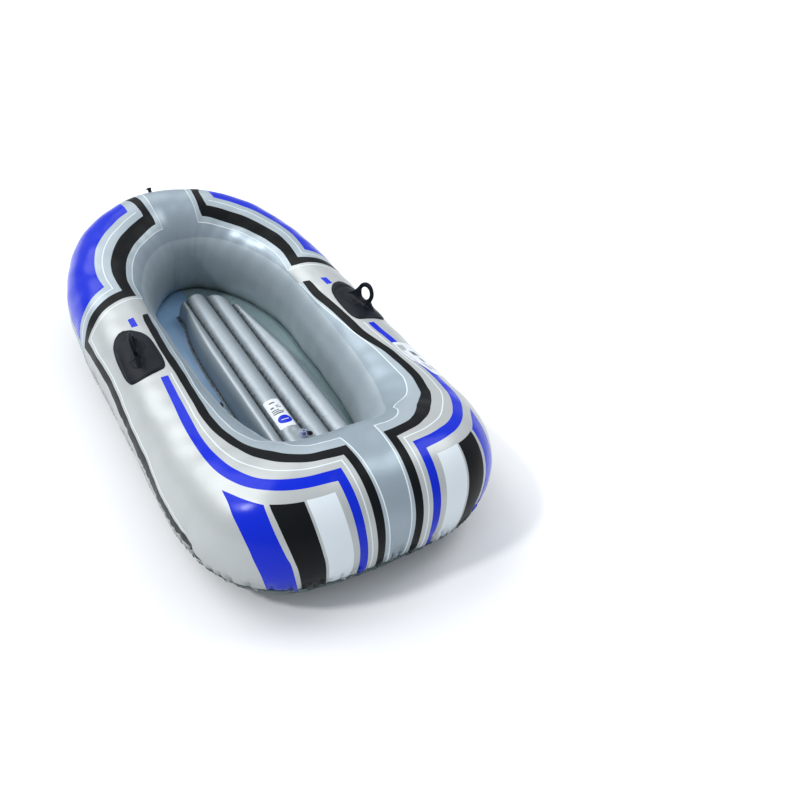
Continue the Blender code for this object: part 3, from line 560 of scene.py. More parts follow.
# The print on one side, in millimetres aft of the bow along the crest and outboard of the crest. Each
# row is one smooth run, and the next row goes on from its last point, round a corner
printLines = {
    "chevronInboard": [
        [(92, 420), (94, 200), (100, 100), (109, 30), (115, 0), (125, -30), (145, -70), (165, -105),
         (185, -126.5)],
        [(300, -107.5), (400, -82.5), (500, -61), (600, -51), (650, -55), (704, -64)],
        [(720, -40), (740, 5), (765, 60), (790, 115), (803.5, 165)],
    ],
    "sideBandInboard": [
        [(803.5, 165), (900, 160), (1000, 157), (1100, 160), (1200, 175), (1300, 185), (1400, 200),
         (1500, 227.5), (1600, 266), (1640, 305), (1660, 345)],
    ],
    "sideBandOutboard": [
        [(1660, 345), (1620, 325), (1580, 300), (1500, 280), (1400, 250), (1300, 235), (1200, 215),
         (1100, 195), (1000, 190), (900, 190), (780, 205)],
    ],
    "chevronOutboard": [
        [(780, 205), (770, 165), (750, 117.5), (725, 62.5), (700, 10), (683, -21)],
        [(650, -15), (600, -8), (550, -6), (500, -9), (400, -27.5), (300, -52.5), (250, -64),
         (196.5, -74)],
        [(180, -57.5), (165, -35), (150, -5), (142.5, 30), (135, 100), (130, 200), (128, 420)],
    ],
    "bowPatch": [
        [(210, -17.5), (250, -7.5), (300, 5), (350, 19), (400, 32.5), (450, 42.5), (500, 46), (550, 46),
         (600, 41), (651, 30)],
        [(670, 60), (695, 110), (715, 160), (730, 200), (728, 222)],
        [(600, 232), (450, 236), (300, 236), (152, 236)],
        [(155, 120), (165, 50), (175, 30), (190, 5), (210, -17.5)],
    ],
    "innerLineBow": [
        [(78, 420), (80, 100), (85, 30), (90, 0), (100, -35), (120, -80), (145, -125), (165, -156)],
        [(300, -130), (400, -102.5), (500, -82.5), (600, -72.5), (660, -78), (705, -86)],
    ],
    "armLine": [
        [(705, -86), (720, -65), (745, -20), (770, 35), (795, 90), (817, 147)],
        [(900, 147), (1000, 144), (1100, 147), (1200, 162), (1300, 172), (1400, 187), (1500, 213),
         (1580, 242), (1620, 268)],
    ],
    "patchLine": [
        [(196, -45), (300, -22), (400, 4), (500, 20), (600, 18), (667, 6)],
        [(690, 45), (715, 100), (740, 160), (752, 215)],
    ],
    "innerLineSide": [
        [(800, -86), (900, -83), (1000, -80), (1100, -75), (1200, -70), (1300, -62), (1450, -65),
         (1500, -67.5), (1550, -77.5), (1600, -95), (1650, -123), (1700, -132.5), (1750, -117.5),
         (1800, -102.5), (1850, -87.5), (1900, -79), (1950, -76.5)],
        [(1957.5, 20), (1967.5, 170), (1977.5, 320), (1981, 420)],
    ],
    "sideStripe": [
        [(812, -72), (832, -47)],
        [(860, -42), (900, -38), (1000, -32), (1100, -30), (1200, -30), (1300, -24), (1400, -15),
         (1500, -15), (1600, -20), (1700, -23.5), (1750, -23.5), (1800, -20), (1850, -12.5),
         (1922.5, -4)],
        [(1925, 30), (1930, 120), (1935, 220), (1940, 300), (1944, 420)],
        [(1966, 420)],
        [(1964, 345), (1959, 220), (1955, 120), (1949, 20), (1946, -36)],
        [(1900, -40), (1850, -46), (1800, -55), (1750, -62.5), (1700, -63.5), (1650, -59), (1600, -50),
         (1500, -42.5), (1400, -42), (1300, -50), (1200, -58), (1100, -58), (1000, -60), (900, -67),
         (812, -72)],
    ],
    "blueStripe": [
        [(1178, -7), (1178, 15.5)],
        [(1200, 18), (1300, 27), (1400, 40), (1500, 52.5), (1600, 67.5), (1650, 72.5), (1700, 73.5),
         (1750, 70), (1800, 66), (1850, 64), (1875, 65)],
        [(1877.5, 95), (1885, 195), (1893, 295), (1896, 420)],
        [(1915.5, 420)],
        [(1912.5, 295), (1906, 195), (1900, 95), (1896, 32)],
        [(1850, 31), (1800, 32.5), (1750, 37.5), (1700, 41), (1600, 36), (1500, 26), (1400, 13),
         (1300, 3), (1200, -5), (1178, -7)],
    ],
    "betweenLine": [
        [(1170, -18), (1300, -10), (1400, 0), (1500, 7.5), (1600, 14), (1700, 10), (1800, 6.5),
         (1909, 10)],
        [(1912.5, 70), (1920, 220), (1925, 300), (1928, 420)],
    ],
    "square": [[(845, -13), (898, -11)], [(900, 10)], [(853, 8)], [(845, -13)]],
    "blueBlock": [
        [(1663, 104), (1690, 103.5), (1745, 108.5)],
        [(1757.5, 145), (1770, 190), (1780, 235), (1787.5, 280), (1798, 420)],
        [(1762, 420)],
        [(1755, 310), (1742.5, 240), (1732.5, 205), (1720, 175), (1705, 150), (1687.5, 125),
         (1663, 104)],
    ],
    "blackBlock": [
        [(1752.5, 106), (1802.5, 98.5)],
        [(1810, 140), (1817.5, 190), (1824, 240), (1829, 290), (1835, 420)],
        [(1802, 420)],
        [(1795, 300), (1789, 250), (1780, 200), (1767.5, 150), (1752.5, 106)],
    ],
    "whiteBlock": [
        [(1806, 96.5), (1860, 91)],
        [(1865, 145), (1870, 195), (1875, 245), (1878.5, 295), (1883, 420)],
        [(1839, 420)],
        [(1833, 290), (1828, 240), (1821.5, 190), (1814, 140), (1806, 96.5)],
    ],
}
printFinish = {
    "lineWidth": 0.0035, "gridStep": 0.012, "fineStep": 0.0030, "fineBand": 0.045,
    # the print lies a little further forward on starboard, and drifts across the crest
    "slipAt": (0, 0.15, 0.45, 0.70, 0.95, 1.2, 1.5, 1.6, 1.7, 1.8, 1.95),
    "slipAlong": (0, -0.025, -0.010, -0.006, -0.012, -0.018, -0.016, -0.014, -0.012, -0.014, -0.016),
    "slipAcross": (0, 0, -0.008, -0.006, -0.005, 0.010, 0.030, 0.027, 0.005, -0.004, -0.006),
    # and its black band beside the oarlock lies further inboard there
    "bandInboard": 0.011, "bandFrom": (0.78, 0.92), "bandTo": (1.18, 1.36), "weldFade": 0.020,
    "edgeStep": 0.008, "endPoints": 40,
}


def runsOf(*parts):
    # runs in metres: a named line, or a row of points that goes on from the last run
    runs = []
    for part in parts:
        rows = printLines[part] if isinstance(part, str) else [part]
        for row in rows:
            fresh = not runs or (isinstance(part, str) and row is rows[0])
            start = [] if fresh else runs[-1][-1:]
            runs.append(start + [(along / 1000, across / 1000) for along, across in row])
    return runs


def printShapes():
    # inks from the lowest layer up
    past = 1000 * halfRun + 50
    shapes = {
        "crestZone": runsOf([(-50, 420), (78, 420)], "innerLineBow", [(800, -86)], "innerLineSide",
                            [(past, 420)], [(past, -450)], [(-50, -450)], [(-50, 420)]),
        "bowMargin": runsOf("innerLineBow", [(694, -42)],
                            [(600, -30), (500, -35), (350, -68), (190, -100)],
                            [(140, -20), (120, 50), (112, 420)], [(78, 420)]),
        "sideMargin": runsOf("innerLineSide", [(1955, 420)], [(1942, 120), (1935, -20)],
                             [(1800, -37), (1700, -44), (1600, -36), (1400, -28), (1200, -44),
                              (1000, -46), (830, -60)], [(800, -86)]),
        # painted shade: the bow outboard of the chevron is drawn in the darker silver ink, for the shade
        # where the bow faces away from the light
        "bowSilver": runsOf("chevronOutboard", [(770, 420)], [(780, 205)]),
        "chevron": runsOf("chevronInboard", "sideBandInboard", "sideBandOutboard", "chevronOutboard",
                          [(92, 420)]),
    }
    inks = {"crestZone": "steel", "bowMargin": "silver", "sideMargin": "silver", "bowSilver": "silver",
            "chevron": "black", "bowPatch": "blue", "square": "blue", "blueStripe": "blue",
            "blueBlock": "blue", "sideStripe": "black", "blackBlock": "black", "whiteBlock": "white"}
    layers = [(ink, closedOutline(*(shapes.get(name) or runsOf(name)))) for name, ink in inks.items()]
    for name in ("innerLineBow", "armLine", "patchLine", "innerLineSide", "betweenLine"):
        layers.append(("line", thinStripe(printFinish["lineWidth"], *runsOf(name))))
    return layers


def slipped(outline, inboard):
    # the same outline where it lies on the starboard side
    places = []
    for run, across in outline:
        beside = inboard * smoothStep(*printFinish["bandFrom"], run)
        beside *= 1 - smoothStep(*printFinish["bandTo"], run)
        further = np.interp(run, printFinish["slipAt"], printFinish["slipAlong"])
        outward = np.interp(run, printFinish["slipAt"], printFinish["slipAcross"])
        places.append(np.array((run + further, across - beside + outward)))
    return places


def halfEdges():
    # the printed skin's own edge in the same metres: its weld to the wall, and its hem
    runs = np.linspace(0, halfRun, round(halfRun / printFinish["edgeStep"]) + 1)
    turns = [float(np.interp(run, crestRun, crestTurns)) for run in runs]
    inner = [np.array((run, toGirthMetres(turn, seamGirth(turn)))) for run, turn in zip(runs, turns)]
    outer = [np.array((run, toGirthMetres(turn, hull["hemLow"]))) for run, turn in zip(runs, turns)]
    return inner, outer


# Spots between the outlines, as shares of their step: rows of triangles, kept clear of every edge
fillShares = {"row": 0.87, "clear": 0.42, "cell": 0.45}


def fillSheet(edge, inks, step, fineStep=None, isFine=None):
    # triangles over a flat sheet, cut exactly along the edge of every ink
    vertices, faces = [], []
    for outline in [edge] + [ink for name, ink in inks]:
        area = sum(a[0] * b[1] - a[1] * b[0] for a, b in zip(outline, outline[1:] + outline[:1]))
        order = list(range(len(vertices), len(vertices) + len(outline)))
        faces.append(order if area > 0 else order[::-1])
        vertices.extend(Vector(p) for p in outline)
    cells = {}
    near = step * fillShares["cell"]
    for v in vertices:
        cells.setdefault((int(v.x // near), int(v.y // near)), []).append(v)
    low = np.min([v[:] for v in vertices[:len(edge)]], axis=0)
    high = np.max([v[:] for v in vertices[:len(edge)]], axis=0)
    spots = []
    for size in filter(None, (step, fineStep)):
        for i, y in enumerate(np.arange(low[1], high[1], size * fillShares["row"])):
            for x in np.arange(low[0] + (i % 2) * size / 2, high[0], size):
                if fineStep is None or isFine(x, y) == (size == fineStep):
                    spots.append((x, y, size * fillShares["clear"]))
    nearby = [(a, b) for a in (-1, 0, 1) for b in (-1, 0, 1)]
    for x, y, clear in spots:
        spot = Vector((x, y))
        column, row = int(x // near), int(y // near)
        around = [v for a, b in nearby for v in cells.get((column + a, row + b), ())]
        if all((v - spot).length > clear for v in around):
            vertices.append(spot)
    filled = delaunay_2d_cdt(vertices, [], faces, 1, 1e-6)
    points, made, origins = filled[0], filled[2], filled[5]
    kept = [(face, max(under)) for face, under in zip(made, origins) if 0 in under]
    return points, [face for face, origin in kept], [origin for face, origin in kept]


skinInks = ("pearl", "silver", "steel", "blue", "black", "white", "line")


def buildSkin():
    inner, outer = halfEdges()
    hemRuns, hemAcross = np.array(outer).T.copy()

    def nearHem(run, across):
        return across > np.interp(run, hemRuns, hemAcross) - printFinish["fineBand"]

    def between(start, end):
        shares = np.linspace(0, 1, printFinish["endPoints"])[1:-1]
        return [start + (end - start) * share for share in shares]

    edge = inner + between(inner[-1], outer[-1]) + outer[::-1] + between(outer[0], inner[0])
    vertices, faces, inks, welds = [], [], [], []
    for side in (-1, 1):
        shapes = printShapes()
        if side > 0:
            shapes = [(name, slipped(outline, printFinish["bandInboard"] if name == "black" else 0.0))
                      for name, outline in shapes]
        points, made, origins = fillSheet(edge, shapes, printFinish["gridStep"], printFinish["fineStep"],
                                          nearHem)
        first = len(vertices)
        for point in points:
            turn, girth = toAngles(point.x, point.y)
            vertices.append(softHullPoint(turn * side, girth))
            # darker towards the hem: painted shade low on the ring, with dust at the weld
            welds.append(math.exp(-abs(girth - hull["hemTop"]) * girthRadius / printFinish["weldFade"]))
        for face, origin in zip(made, origins):
            faces.append([first + i for i in (face if side > 0 else face[::-1])])
            inks.append(skinInks.index(shapes[origin - 1][0]) if origin else 0)
    skin = addPiece("printed_skin", vertices, faces, [vinyl[name] for name in skinInks], inks)
    setWeld(skin, welds)
    return skin


skin = buildSkin()
mergeSeams(skin, 0.0002)
turnUp(skin, nearestFace(skin, hullPoint(math.pi / 2, math.pi / 2)[0]))
finishFilm(skin, "printed_vinyl", "hull_top_skin")
print("printed skin:", len(skin.data.polygons), "faces")


# Plain sheets of the ring: the wall round the cockpit, and the bottom sheet lapped up over the print
ringSheets = {
    "columns": 420, "wallRows": 40, "wallEasing": 1.35, "underSeam": math.radians(1.5), "tuckFade": 0.14,
    "lapEnd": -32, "lapRows": 12, "lowGirths": (-34, -90),
    "lowRows": 14, "weldFade": 0.010, "bottomStep": 0.022, "slack": 0.0022, "slackFrom": (0.02, 0.12),
}


def ringTurns(count):
    fine = np.concatenate((crestTurns[:-1], 2 * math.pi - crestTurns[::-1]))
    run = np.concatenate((crestRun[:-1], 2 * halfRun - crestRun[::-1]))
    return np.interp(np.arange(count) / count * 2 * halfRun, run, fine)


def ringSheet(name, girthsAt, material, lift=0.0, flip=False):
    # a sheet all round the ring; the one without lift is tucked under the skin at its seam
    vertices, welds = [], []
    turns = ringTurns(ringSheets["columns"])
    for turn in turns:
        for girth in girthsAt(turn):
            below = smoothStep(0.0, ringSheets["tuckFade"], girth - seamGirth(turn))
            tuck = 0 if lift else hull["sheet"] * 0.5 * (1 - below)
            vertices.append(softHullPoint(turn, girth, lift - tuck))
            welds.append(math.exp(-abs(girth - hull["hemLow"]) * girthRadius / ringSheets["weldFade"]))
    rows = len(girthsAt(0.0))
    piece = addPiece(name, vertices, gridFaces(len(turns), rows, closed=True, flip=flip), [material])
    setWeld(piece, welds)
    return piece


def wallGirths(turn):
    top = seamGirth(turn) - ringSheets["underSeam"]
    shares = np.linspace(0, 1, ringSheets["wallRows"] + 1) ** ringSheets["wallEasing"]
    return top + (hull["wallFoot"] - top) * shares


def bottomGirths(turn):
    lap = np.linspace(hull["hemTop"], math.radians(ringSheets["lapEnd"]), ringSheets["lapRows"])
    return [*lap, *np.radians(np.linspace(*ringSheets["lowGirths"], ringSheets["lowRows"]))]


wall = ringSheet("cockpit_wall", wallGirths, vinyl["wall"], flip=True)
finishFilm(wall, "plain_vinyl", "hull_inner_wall")


def slackRipples(x, y):
    # two crossing sets of ripples, in radians to the metre
    return math.sin(x * 19 + 1.1) * math.sin(y * 13) + 0.6 * math.sin(x * 9 - y * 27)


def buildBottom():
    # the lapped rim of the bottom sheet, and its flat middle with a few slack ripples
    rim = ringSheet("bottom_sheet_rim", bottomGirths, vinyl["bottom"], hull["lapStep"])
    rows = len(bottomGirths(0.0))
    loop = [rim.data.vertices[i].co for i in range(rows - 1, len(rim.data.vertices), rows)]
    edge = [np.array((p.x, p.y)) for p in loop]
    points, faces, origins = fillSheet(edge, [], ringSheets["bottomStep"])
    vertices = []
    for point in points:
        inward = min((Vector(p) - point).length for p in edge[::6])
        height = ringSheets["slack"] * smoothStep(*ringSheets["slackFrom"], inward)
        vertices.append((point.x, point.y, height * max(0.0, slackRipples(point.x, point.y))))
    middle = addPiece("bottom_sheet_middle", vertices, faces, [vinyl["bottom"]])
    with openMesh(rim) as work:
        work.from_mesh(middle.data)
        bmesh.ops.remove_doubles(work, verts=work.verts, dist=0.00015)
    bpy.data.objects.remove(middle)
    rim.name = "bottom_sheet_soft"
    return rim


bottom = buildBottom()
mergeSeams(bottom)
turnUp(bottom, nearestFace(bottom, Vector((0, 0, 0))), -1)
finishFilm(bottom, "bottom_vinyl", "bottom_sheet")
print("wall and bottom sheets ready")

# The air floor: four beams between three welded lines, tapered towards the bow
floor = {
    "base": 0.045, "clear": 0.0015, "lines": (-0.126, -0.064, 0.0145, 0.088, 0.175), "middle": 0.0245,
    "valley": 0.106, "top": 0.138, "steps": 8, "lean": math.radians(9), "taperStart": 0.03,
    "taperLength": 0.37, "portTaper": 0.50, "starboardTaper": 0.74, "bowEnd": 0.520, "sternEnd": -0.515,
    "bowEndMiddle": -0.022, "bowEndCurve": 7.0, "sternEndCurve": 1.9, "endRound": 0.045, "flange": 0.008,
    "flangeFrom": -0.02, "valveAt": (-0.001, -0.399), "padFlat": 0.020, "padFade": 0.045, "padTop": 0.133,
    "beamColumns": 16, "rows": 190, "rowEasing": 0.48, "weldFade": 0.010, "weldShade": 1.6,
    "puckerSpacing": 0.034, "puckerDepth": 0.0007, "puckerWidth": 0.0026, "puckerWidening": 0.12,
    "puckerReach": (0.009, 0.012), "puckerEnds": (-0.53, 0.54), "puckerHalf": 0.03,
    "puckerStrength": (0.3, 1.0), "puckerSeed": 40, "swell": 0.0003, "swellsPerMetre": 38,
    "swellLag": 2.1, "endFade": 0.02,
}


def floorLines(y):
    lines = list(floor["lines"])
    late = min(1.0, max(0.0, (y - floor["taperStart"]) / floor["taperLength"]))
    lines[0] = lines[1] - (lines[1] - lines[0]) * (1 - floor["portTaper"] * late ** 3)
    lines[4] = lines[3] + (lines[4] - lines[3]) * (1 - floor["starboardTaper"] * late)
    return lines


def beamShare(step):
    angle = floor["lean"] + (math.pi - 2 * floor["lean"]) * step / floor["steps"]
    low = math.sin(floor["lean"])
    return (1 - math.cos(angle) / math.cos(floor["lean"])) / 2, (math.sin(angle) - low) / (1 - low)


def floorX(beam, step, y):
    lines = floorLines(y)
    return lines[beam] + (lines[beam + 1] - lines[beam]) * beamShare(step)[0]


def beamHeight(beam, step, y):
    lines = floorLines(y)
    full = floor["lines"][beam + 1] - floor["lines"][beam]
    plump = ((lines[beam + 1] - lines[beam]) / full) ** 0.5
    half = floor["steps"] / 2
    outer = (beam == 0 and step < half) or (beam == 3 and step > half)
    foot = floor["base"] + hull["lapStep"] if outer else floor["valley"]
    top = floor["valley"] + (floor["top"] - floor["valley"]) * plump
    return foot + (top - foot) * beamShare(step)[1]


def floorEnds(beam, step):
    bowX = floorX(beam, step, floor["taperStart"] + floor["taperLength"])
    sternX = floorX(beam, step, 0.0)
    bow = floor["bowEnd"] - floor["bowEndCurve"] * (bowX - floor["bowEndMiddle"]) ** 2
    return floor["sternEnd"] + floor["sternEndCurve"] * (sternX - floor["middle"]) ** 2, bow


def floorSurface(beam, step, y):
    stern, bow = floorEnds(beam, step)
    foot = floor["base"] + hull["lapStep"]
    fromEnd = max(0.0, min(y - stern, bow - y))
    fall = 1 - min(fromEnd, floor["endRound"]) / floor["endRound"]
    height = foot + (beamHeight(beam, step, y) - foot) * math.sqrt(max(0.0, 1 - fall ** 2))
    x = floorX(beam, step, y)
    away = max(abs(x - floor["valveAt"][0]), abs(y - floor["valveAt"][1]))
    flat = 1 - smoothStep(floor["padFlat"], floor["padFade"], away)
    return Vector((x, y, height + (floor["padTop"] - height) * flat)), flat


def scatterAlong(low, high, spacing, seed):
    dice = random.Random(seed)
    spots = []
    while low < high:
        spots.append((low, dice.uniform(*floor["puckerStrength"])))
        low += spacing * dice.uniform(*pleatShape["unevenSpacing"])
    return spots


valleyPuckers = [scatterAlong(*floor["puckerEnds"], floor["puckerSpacing"], floor["puckerSeed"] + line)
                 for line in range(len(floor["lines"]))]


def puckerLift(line, y, away):
    # short creases square to a welded valley
    lift = 0.0
    least, added = floor["puckerReach"]
    width = floor["puckerWidth"] + floor["puckerWidening"] * away
    for at, strength in valleyPuckers[line]:
        if abs(y - at) < floor["puckerHalf"]:
            reach = math.exp(-(away / (least + added * strength)) ** 2)
            lift -= floor["puckerDepth"] * strength * reach * math.exp(-((y - at) / width) ** 2)
    return lift


def buildFloorTop():
    flange = floor["flange"]
    columns = [(beam, floor["steps"] * i / floor["beamColumns"]) for beam in range(4)
               for i in range(floor["beamColumns"])] + [(3, floor["steps"])]
    sides = [(columns[0], -flange), *[(column, 0.0) for column in columns], (columns[-1], flange)]
    shares = np.linspace(0, 1, floor["rows"])
    easing = shares - floor["rowEasing"] * np.sin(2 * math.pi * shares) / (2 * math.pi)
    vertices, welds = [], []
    for (beam, step), outward in sides:
        stern, bow = floorEnds(beam, step)
        for y in [stern - flange, *(stern + (bow - stern) * easing), bow + flange]:
            point, flat = floorSurface(beam, step, y)
            lines = floorLines(y)
            nearLine = min(range(5), key=lambda n: abs(lines[n] - point.x))
            away = abs(lines[nearLine] - point.x)
            swell = math.sin(y * floor["swellsPerMetre"] + beam * floor["swellLag"])
            lift = floor["swell"] * swell * beamShare(step)[1]
            if 0 < nearLine < 4:
                lift += puckerLift(nearLine, y, away)
            else:
                away = point.z - floor["base"]
            point.z += lift * (1 - flat) * smoothStep(0.0, floor["endFade"], min(y - stern, bow - y))
            point.x += outward
            vertices.append(point)
            # painted shade: darker along the welded valleys, at the beams' ends and low on the outer
            # flanks
            away = min(away, abs(y - stern), abs(bow - y))
            welds.append(floor["weldShade"] * math.exp(-away / floor["weldFade"]))
    piece = addPiece("air_floor", vertices, gridFaces(len(sides), floor["rows"] + 2), [vinyl["floor"]])
    setWeld(piece, welds)
    return piece


airFloor = buildFloorTop()
turnUp(airFloor, airFloor.data.polygons[len(airFloor.data.polygons) // 2])
finishFilm(airFloor, "floor_vinyl", "floor_top_sheet")


floorBaseSheet = {
    "columns": 260, "step": 0.007, "ends": 0.50, "slackFrom": (0.002, 0.02), "weldFade": 0.008,
    "ripple": 0.0012, "rippleRise": 0.5, "rippleWaves": (31, 5, 11), "flangeRise": 0.006,
    "flangeFade": 0.02,
}


def cockpitOutline(height, clear, turns):
    points = []
    for turn in turns:
        half = alongRing(heightSeries, turn)
        sine = (1 - (height - hull["lapStep"]) / half) ** (hull["footFullness"] / 2)
        girth = math.pi + math.asin(sine)
        point = softHullPoint(turn, girth)
        inward = (innermost(turn) - ringFrame(turn)[0]).normalized()
        points.append(np.array((point.x + inward.x * clear, point.y + inward.y * clear)))
    return points


def buildFloorBase():
    # slack film beside the beams: low ripples to port, and the air floor's pleated flange to starboard
    turns = ringTurns(floorBaseSheet["columns"])
    edge = cockpitOutline(floor["base"], floor["clear"], turns)
    ring = np.array(edge)
    ends = floorBaseSheet["ends"]
    alongWaves, bend, acrossWaves = floorBaseSheet["rippleWaves"]
    points, faces, origins = fillSheet(edge, [], floorBaseSheet["step"])
    vertices, welds, flanges = [], [], []
    for point in points:
        gaps = np.hypot(ring[:, 0] - point.x, ring[:, 1] - point.y)
        nearest = int(gaps.argmin())
        toWall = float(gaps[nearest])
        lines = floorLines(point.y)
        low, high = lines[0] - floor["flange"], lines[4] + floor["flange"]
        beyond = max(low - point.x, point.x - high, point.y - ends, -ends - point.y)
        slack = smoothStep(*floorBaseSheet["slackFrom"], min(toWall, beyond))
        flange = smoothStep(-floorBaseSheet["flangeFade"], 0.0, point.x - floor["flangeFrom"])
        flange *= 1 if beyond > 0 else 0
        waves = math.sin(point.y * alongWaves + bend * math.sin(point.x * acrossWaves))
        ripple = floorBaseSheet["ripple"] * (waves + floorBaseSheet["rippleRise"])
        pleat = pleatLift(pleatSets["foot"], signedRun(turns[nearest]), toWall)
        pleat += floorBaseSheet["flangeRise"]
        vertices.append((point.x, point.y, floor["base"] + slack * (ripple + (pleat - ripple) * flange)))
        # darker at the wall's foot: painted shade in the corner where the sheet meets the wall
        welds.append(math.exp(-toWall / floorBaseSheet["weldFade"]))
        flanges.append(flange > 0.5)
    inks = [1 if all(flanges[i] for i in face) else 0 for face in faces]
    piece = addPiece("floor_base_soft", vertices, faces, [vinyl["base"], vinyl["flange"]], inks)
    setWeld(piece, welds)
    return piece


floorBase = buildFloorBase()
turnUp(floorBase, floorBase.data.polygons[0])
finishFilm(floorBase, "floor_base_vinyl", "floor_base_sheet")
print("floor ready")


def roundedBox(wide, tall, corner):
    # the outline of a label with rounded corners
    outline = []
    for x, y, start in ((wide, tall, 0), (0, tall, 90), (0, 0, 180), (wide, 0, 270)):
        middleX = x - math.copysign(corner, x - wide / 2)
        middleY = y - math.copysign(corner, y - tall / 2)
        for angle in np.radians(start + 18 * np.arange(6)):
            bend = corner * math.cos(angle), corner * math.sin(angle)
            outline.append(np.array((middleX, middleY)) + bend)
    return outline


def rule(x, y, wide, tall):
    return [np.array(p) for p in ((x, y), (x + wide, y), (x + wide, y + tall), (x, y + tall))]


# Labels, in metres along and across each: plain rules and blocks, and one disc with a dash
labelStep = 0.006
hullLabel = {
    "runs": (1.29, 1.352, 1.401, 1.449, 1.487), "inner": (0.016, 0.025, 0.036, 0.053, 0.072),
    "long": 0.195, "wide": 0.086, "corner": 0.013, "lift": 0.0006, "film": 0.0003,
    "rules": ((0.016, 0.012, 0.036, 0.004), (0.016, 0.020, 0.036, 0.004), (0.016, 0.028, 0.028, 0.004),
              (0.050, 0.034, 0.028, 0.026), (0.092, 0.040, 0.024, 0.012), (0.126, 0.050, 0.045, 0.016),
              (0.126, 0.020, 0.040, 0.004), (0.126, 0.030, 0.040, 0.004), (0.002, 0.0022, 0.190, 0.0016)),
}
floorLabel = {
    "beam": 1, "steps": (1.6, 5.8), "from": -0.350, "long": 0.142, "wide": 0.049, "corner": 0.007,
    "lift": 0.0010, "film": 0.0003, "disc": (0.036, 0.0280, 0.0196),
    "dash": (0.0345, 0.0180, 0.0034, 0.020),
    "rules": ((0.068, 0.008, 0.004, 0.030), (0.076, 0.008, 0.004, 0.034), (0.084, 0.008, 0.004, 0.022),
              (0.096, 0.010, 0.007, 0.010), (0.096, 0.026, 0.004, 0.014), (0.104, 0.026, 0.004, 0.010),
              (0.120, 0.014, 0.006, 0.016)),
}


def buildLabel(name, label, place, inks, slots):
    edge = roundedBox(label["long"], label["wide"], label["corner"])
    points, faces, origins = fillSheet(edge, inks, labelStep)
    names = ["label"] + [ink for ink, outline in inks]
    piece = addPiece(name + "_soft", [place(p.x, p.y) for p in points], faces,
                     [vinyl[slot] for slot in slots], [slots.index(names[origin]) for origin in origins])
    mergeSeams(piece)
    turnUp(piece, piece.data.polygons[0])
    finishFilm(piece, "label_film", name, label["film"])


def hullLabelPoint(along, across):
    run = hullLabel["runs"][0] + along
    turn, girth = toAngles(run, np.interp(run, hullLabel["runs"], hullLabel["inner"]) + across)
    return softHullPoint(turn, girth, hullLabel["lift"])


def floorLabelPoint(along, across):
    low, high = floorLabel["steps"]
    step = low + (high - low) * across / floorLabel["wide"]
    y = floorLabel["from"] + along
    here = floorSurface(floorLabel["beam"], step, y)[0]
    over = floorSurface(floorLabel["beam"], step + 0.1, y)[0] - here
    return here + Vector((-over.z, 0, over.x)).normalized() * floorLabel["lift"]


def ruleInks(label):
    return [("rule", rule(*sizes)) for sizes in label["rules"]]


discX, discY, discRadius = floorLabel["disc"]
disc = [np.array((discX + discRadius * math.cos(a), discY + discRadius * math.sin(a)))
        for a in np.linspace(0, 2 * math.pi, 40)[:-1]]
floorInks = [("blue", disc), ("label", rule(*floorLabel["dash"])), *ruleInks(floorLabel)]
buildLabel("hull_label", hullLabel, hullLabelPoint, ruleInks(hullLabel), ("label", "rule"))
buildLabel("floor_label", floorLabel, floorLabelPoint, floorInks, ("label", "rule", "blue"))
print("labels ready")


def bridge(work, first, second):
    # a band of faces between two closed loops of equal length
    for i in range(len(first)):
        work.faces.new((first[i - 1], first[i], second[i], second[i - 1]))


# Oarlocks: a welded pad that fits the ring, and the upright whose eye takes the oar
oarlock = {
    "turn": math.radians(91.3), "girth": math.radians(76), "lift": 0.0004, "sink": 0.0006,
    "outline": ((0.088, 0.0), (0.087, 0.022), (0.082, 0.043), (0.067, 0.059), (0.02, 0.067),
        (-0.05, 0.07), (-0.11, 0.067), (-0.15, 0.057), (-0.168, 0.03), (-0.171, 0.0),
        (-0.163, -0.026), (-0.14, -0.044), (-0.08, -0.054), (-0.01, -0.057), (0.045, -0.056),
        (0.073, -0.049), (0.085, -0.028)),
    "edge": 0.0025, "middle": 0.0080, "border": 0.011, "borderStep": 0.0018, "rings": 26,
    "eye": (0.000, 0.046), "eyeWidth": 0.0235, "eyeTall": 0.022, "thick": 0.013, "round": 0.0058,
    "upright": ((-0.066, 0.002), (0.084, 0.002), (0.085, 0.006), (0.072, 0.014), (0.057, 0.0265),
        (0.046, 0.038), (0.038, 0.052), (0.03, 0.069), (0.016, 0.081), (0.0, 0.085),
        (-0.016, 0.081), (-0.03, 0.069), (-0.038, 0.052), (-0.036, 0.034), (-0.032, 0.022),
        (-0.037, 0.012), (-0.05, 0.007), (-0.066, 0.004)),
    "twist": math.radians(12), "flareFoot": 0.019, "flareFall": 0.0058, "flareFrom": 0.005,
    "flareTop": 0.023,
    "flareReach": ((0.005, 0.08, 0.062), (0.008, 0.074, 0.05), (0.013, 0.066, 0.037),
        (0.023, 0.052, 0.031)),
    "ribs": ((-0.022, 0.024), (0.003, 0.020), (0.026, 0.030)), "ribHalf": 0.0028, "ribRise": 0.0012,
    "ahead": {1: 0.021, -1: 0.0}, "astern": {1: 0.85, -1: 1.0}, "inboard": {1: 0.007, -1: 0.0},
    "rimRound": 0.002, "bead": 0.0012, "beadAt": 0.45, "beadWidth": 0.0016, "stepWidth": 0.003,
    "crown": 2.5, "eyePoint": 0.22, "eyePointTurn": 0.25, "plateSteps": 120, "plateRings": 24,
    "flareRings": 22, "flareSteps": 72, "flareFullness": 0.8, "ribLevels": 12, "ribFoot": 0.002,
    "padStep": 0.005, "padEasing": 1.3, "plateStep": 0.003, "voxel": 0.0014, "soften": 4,
}


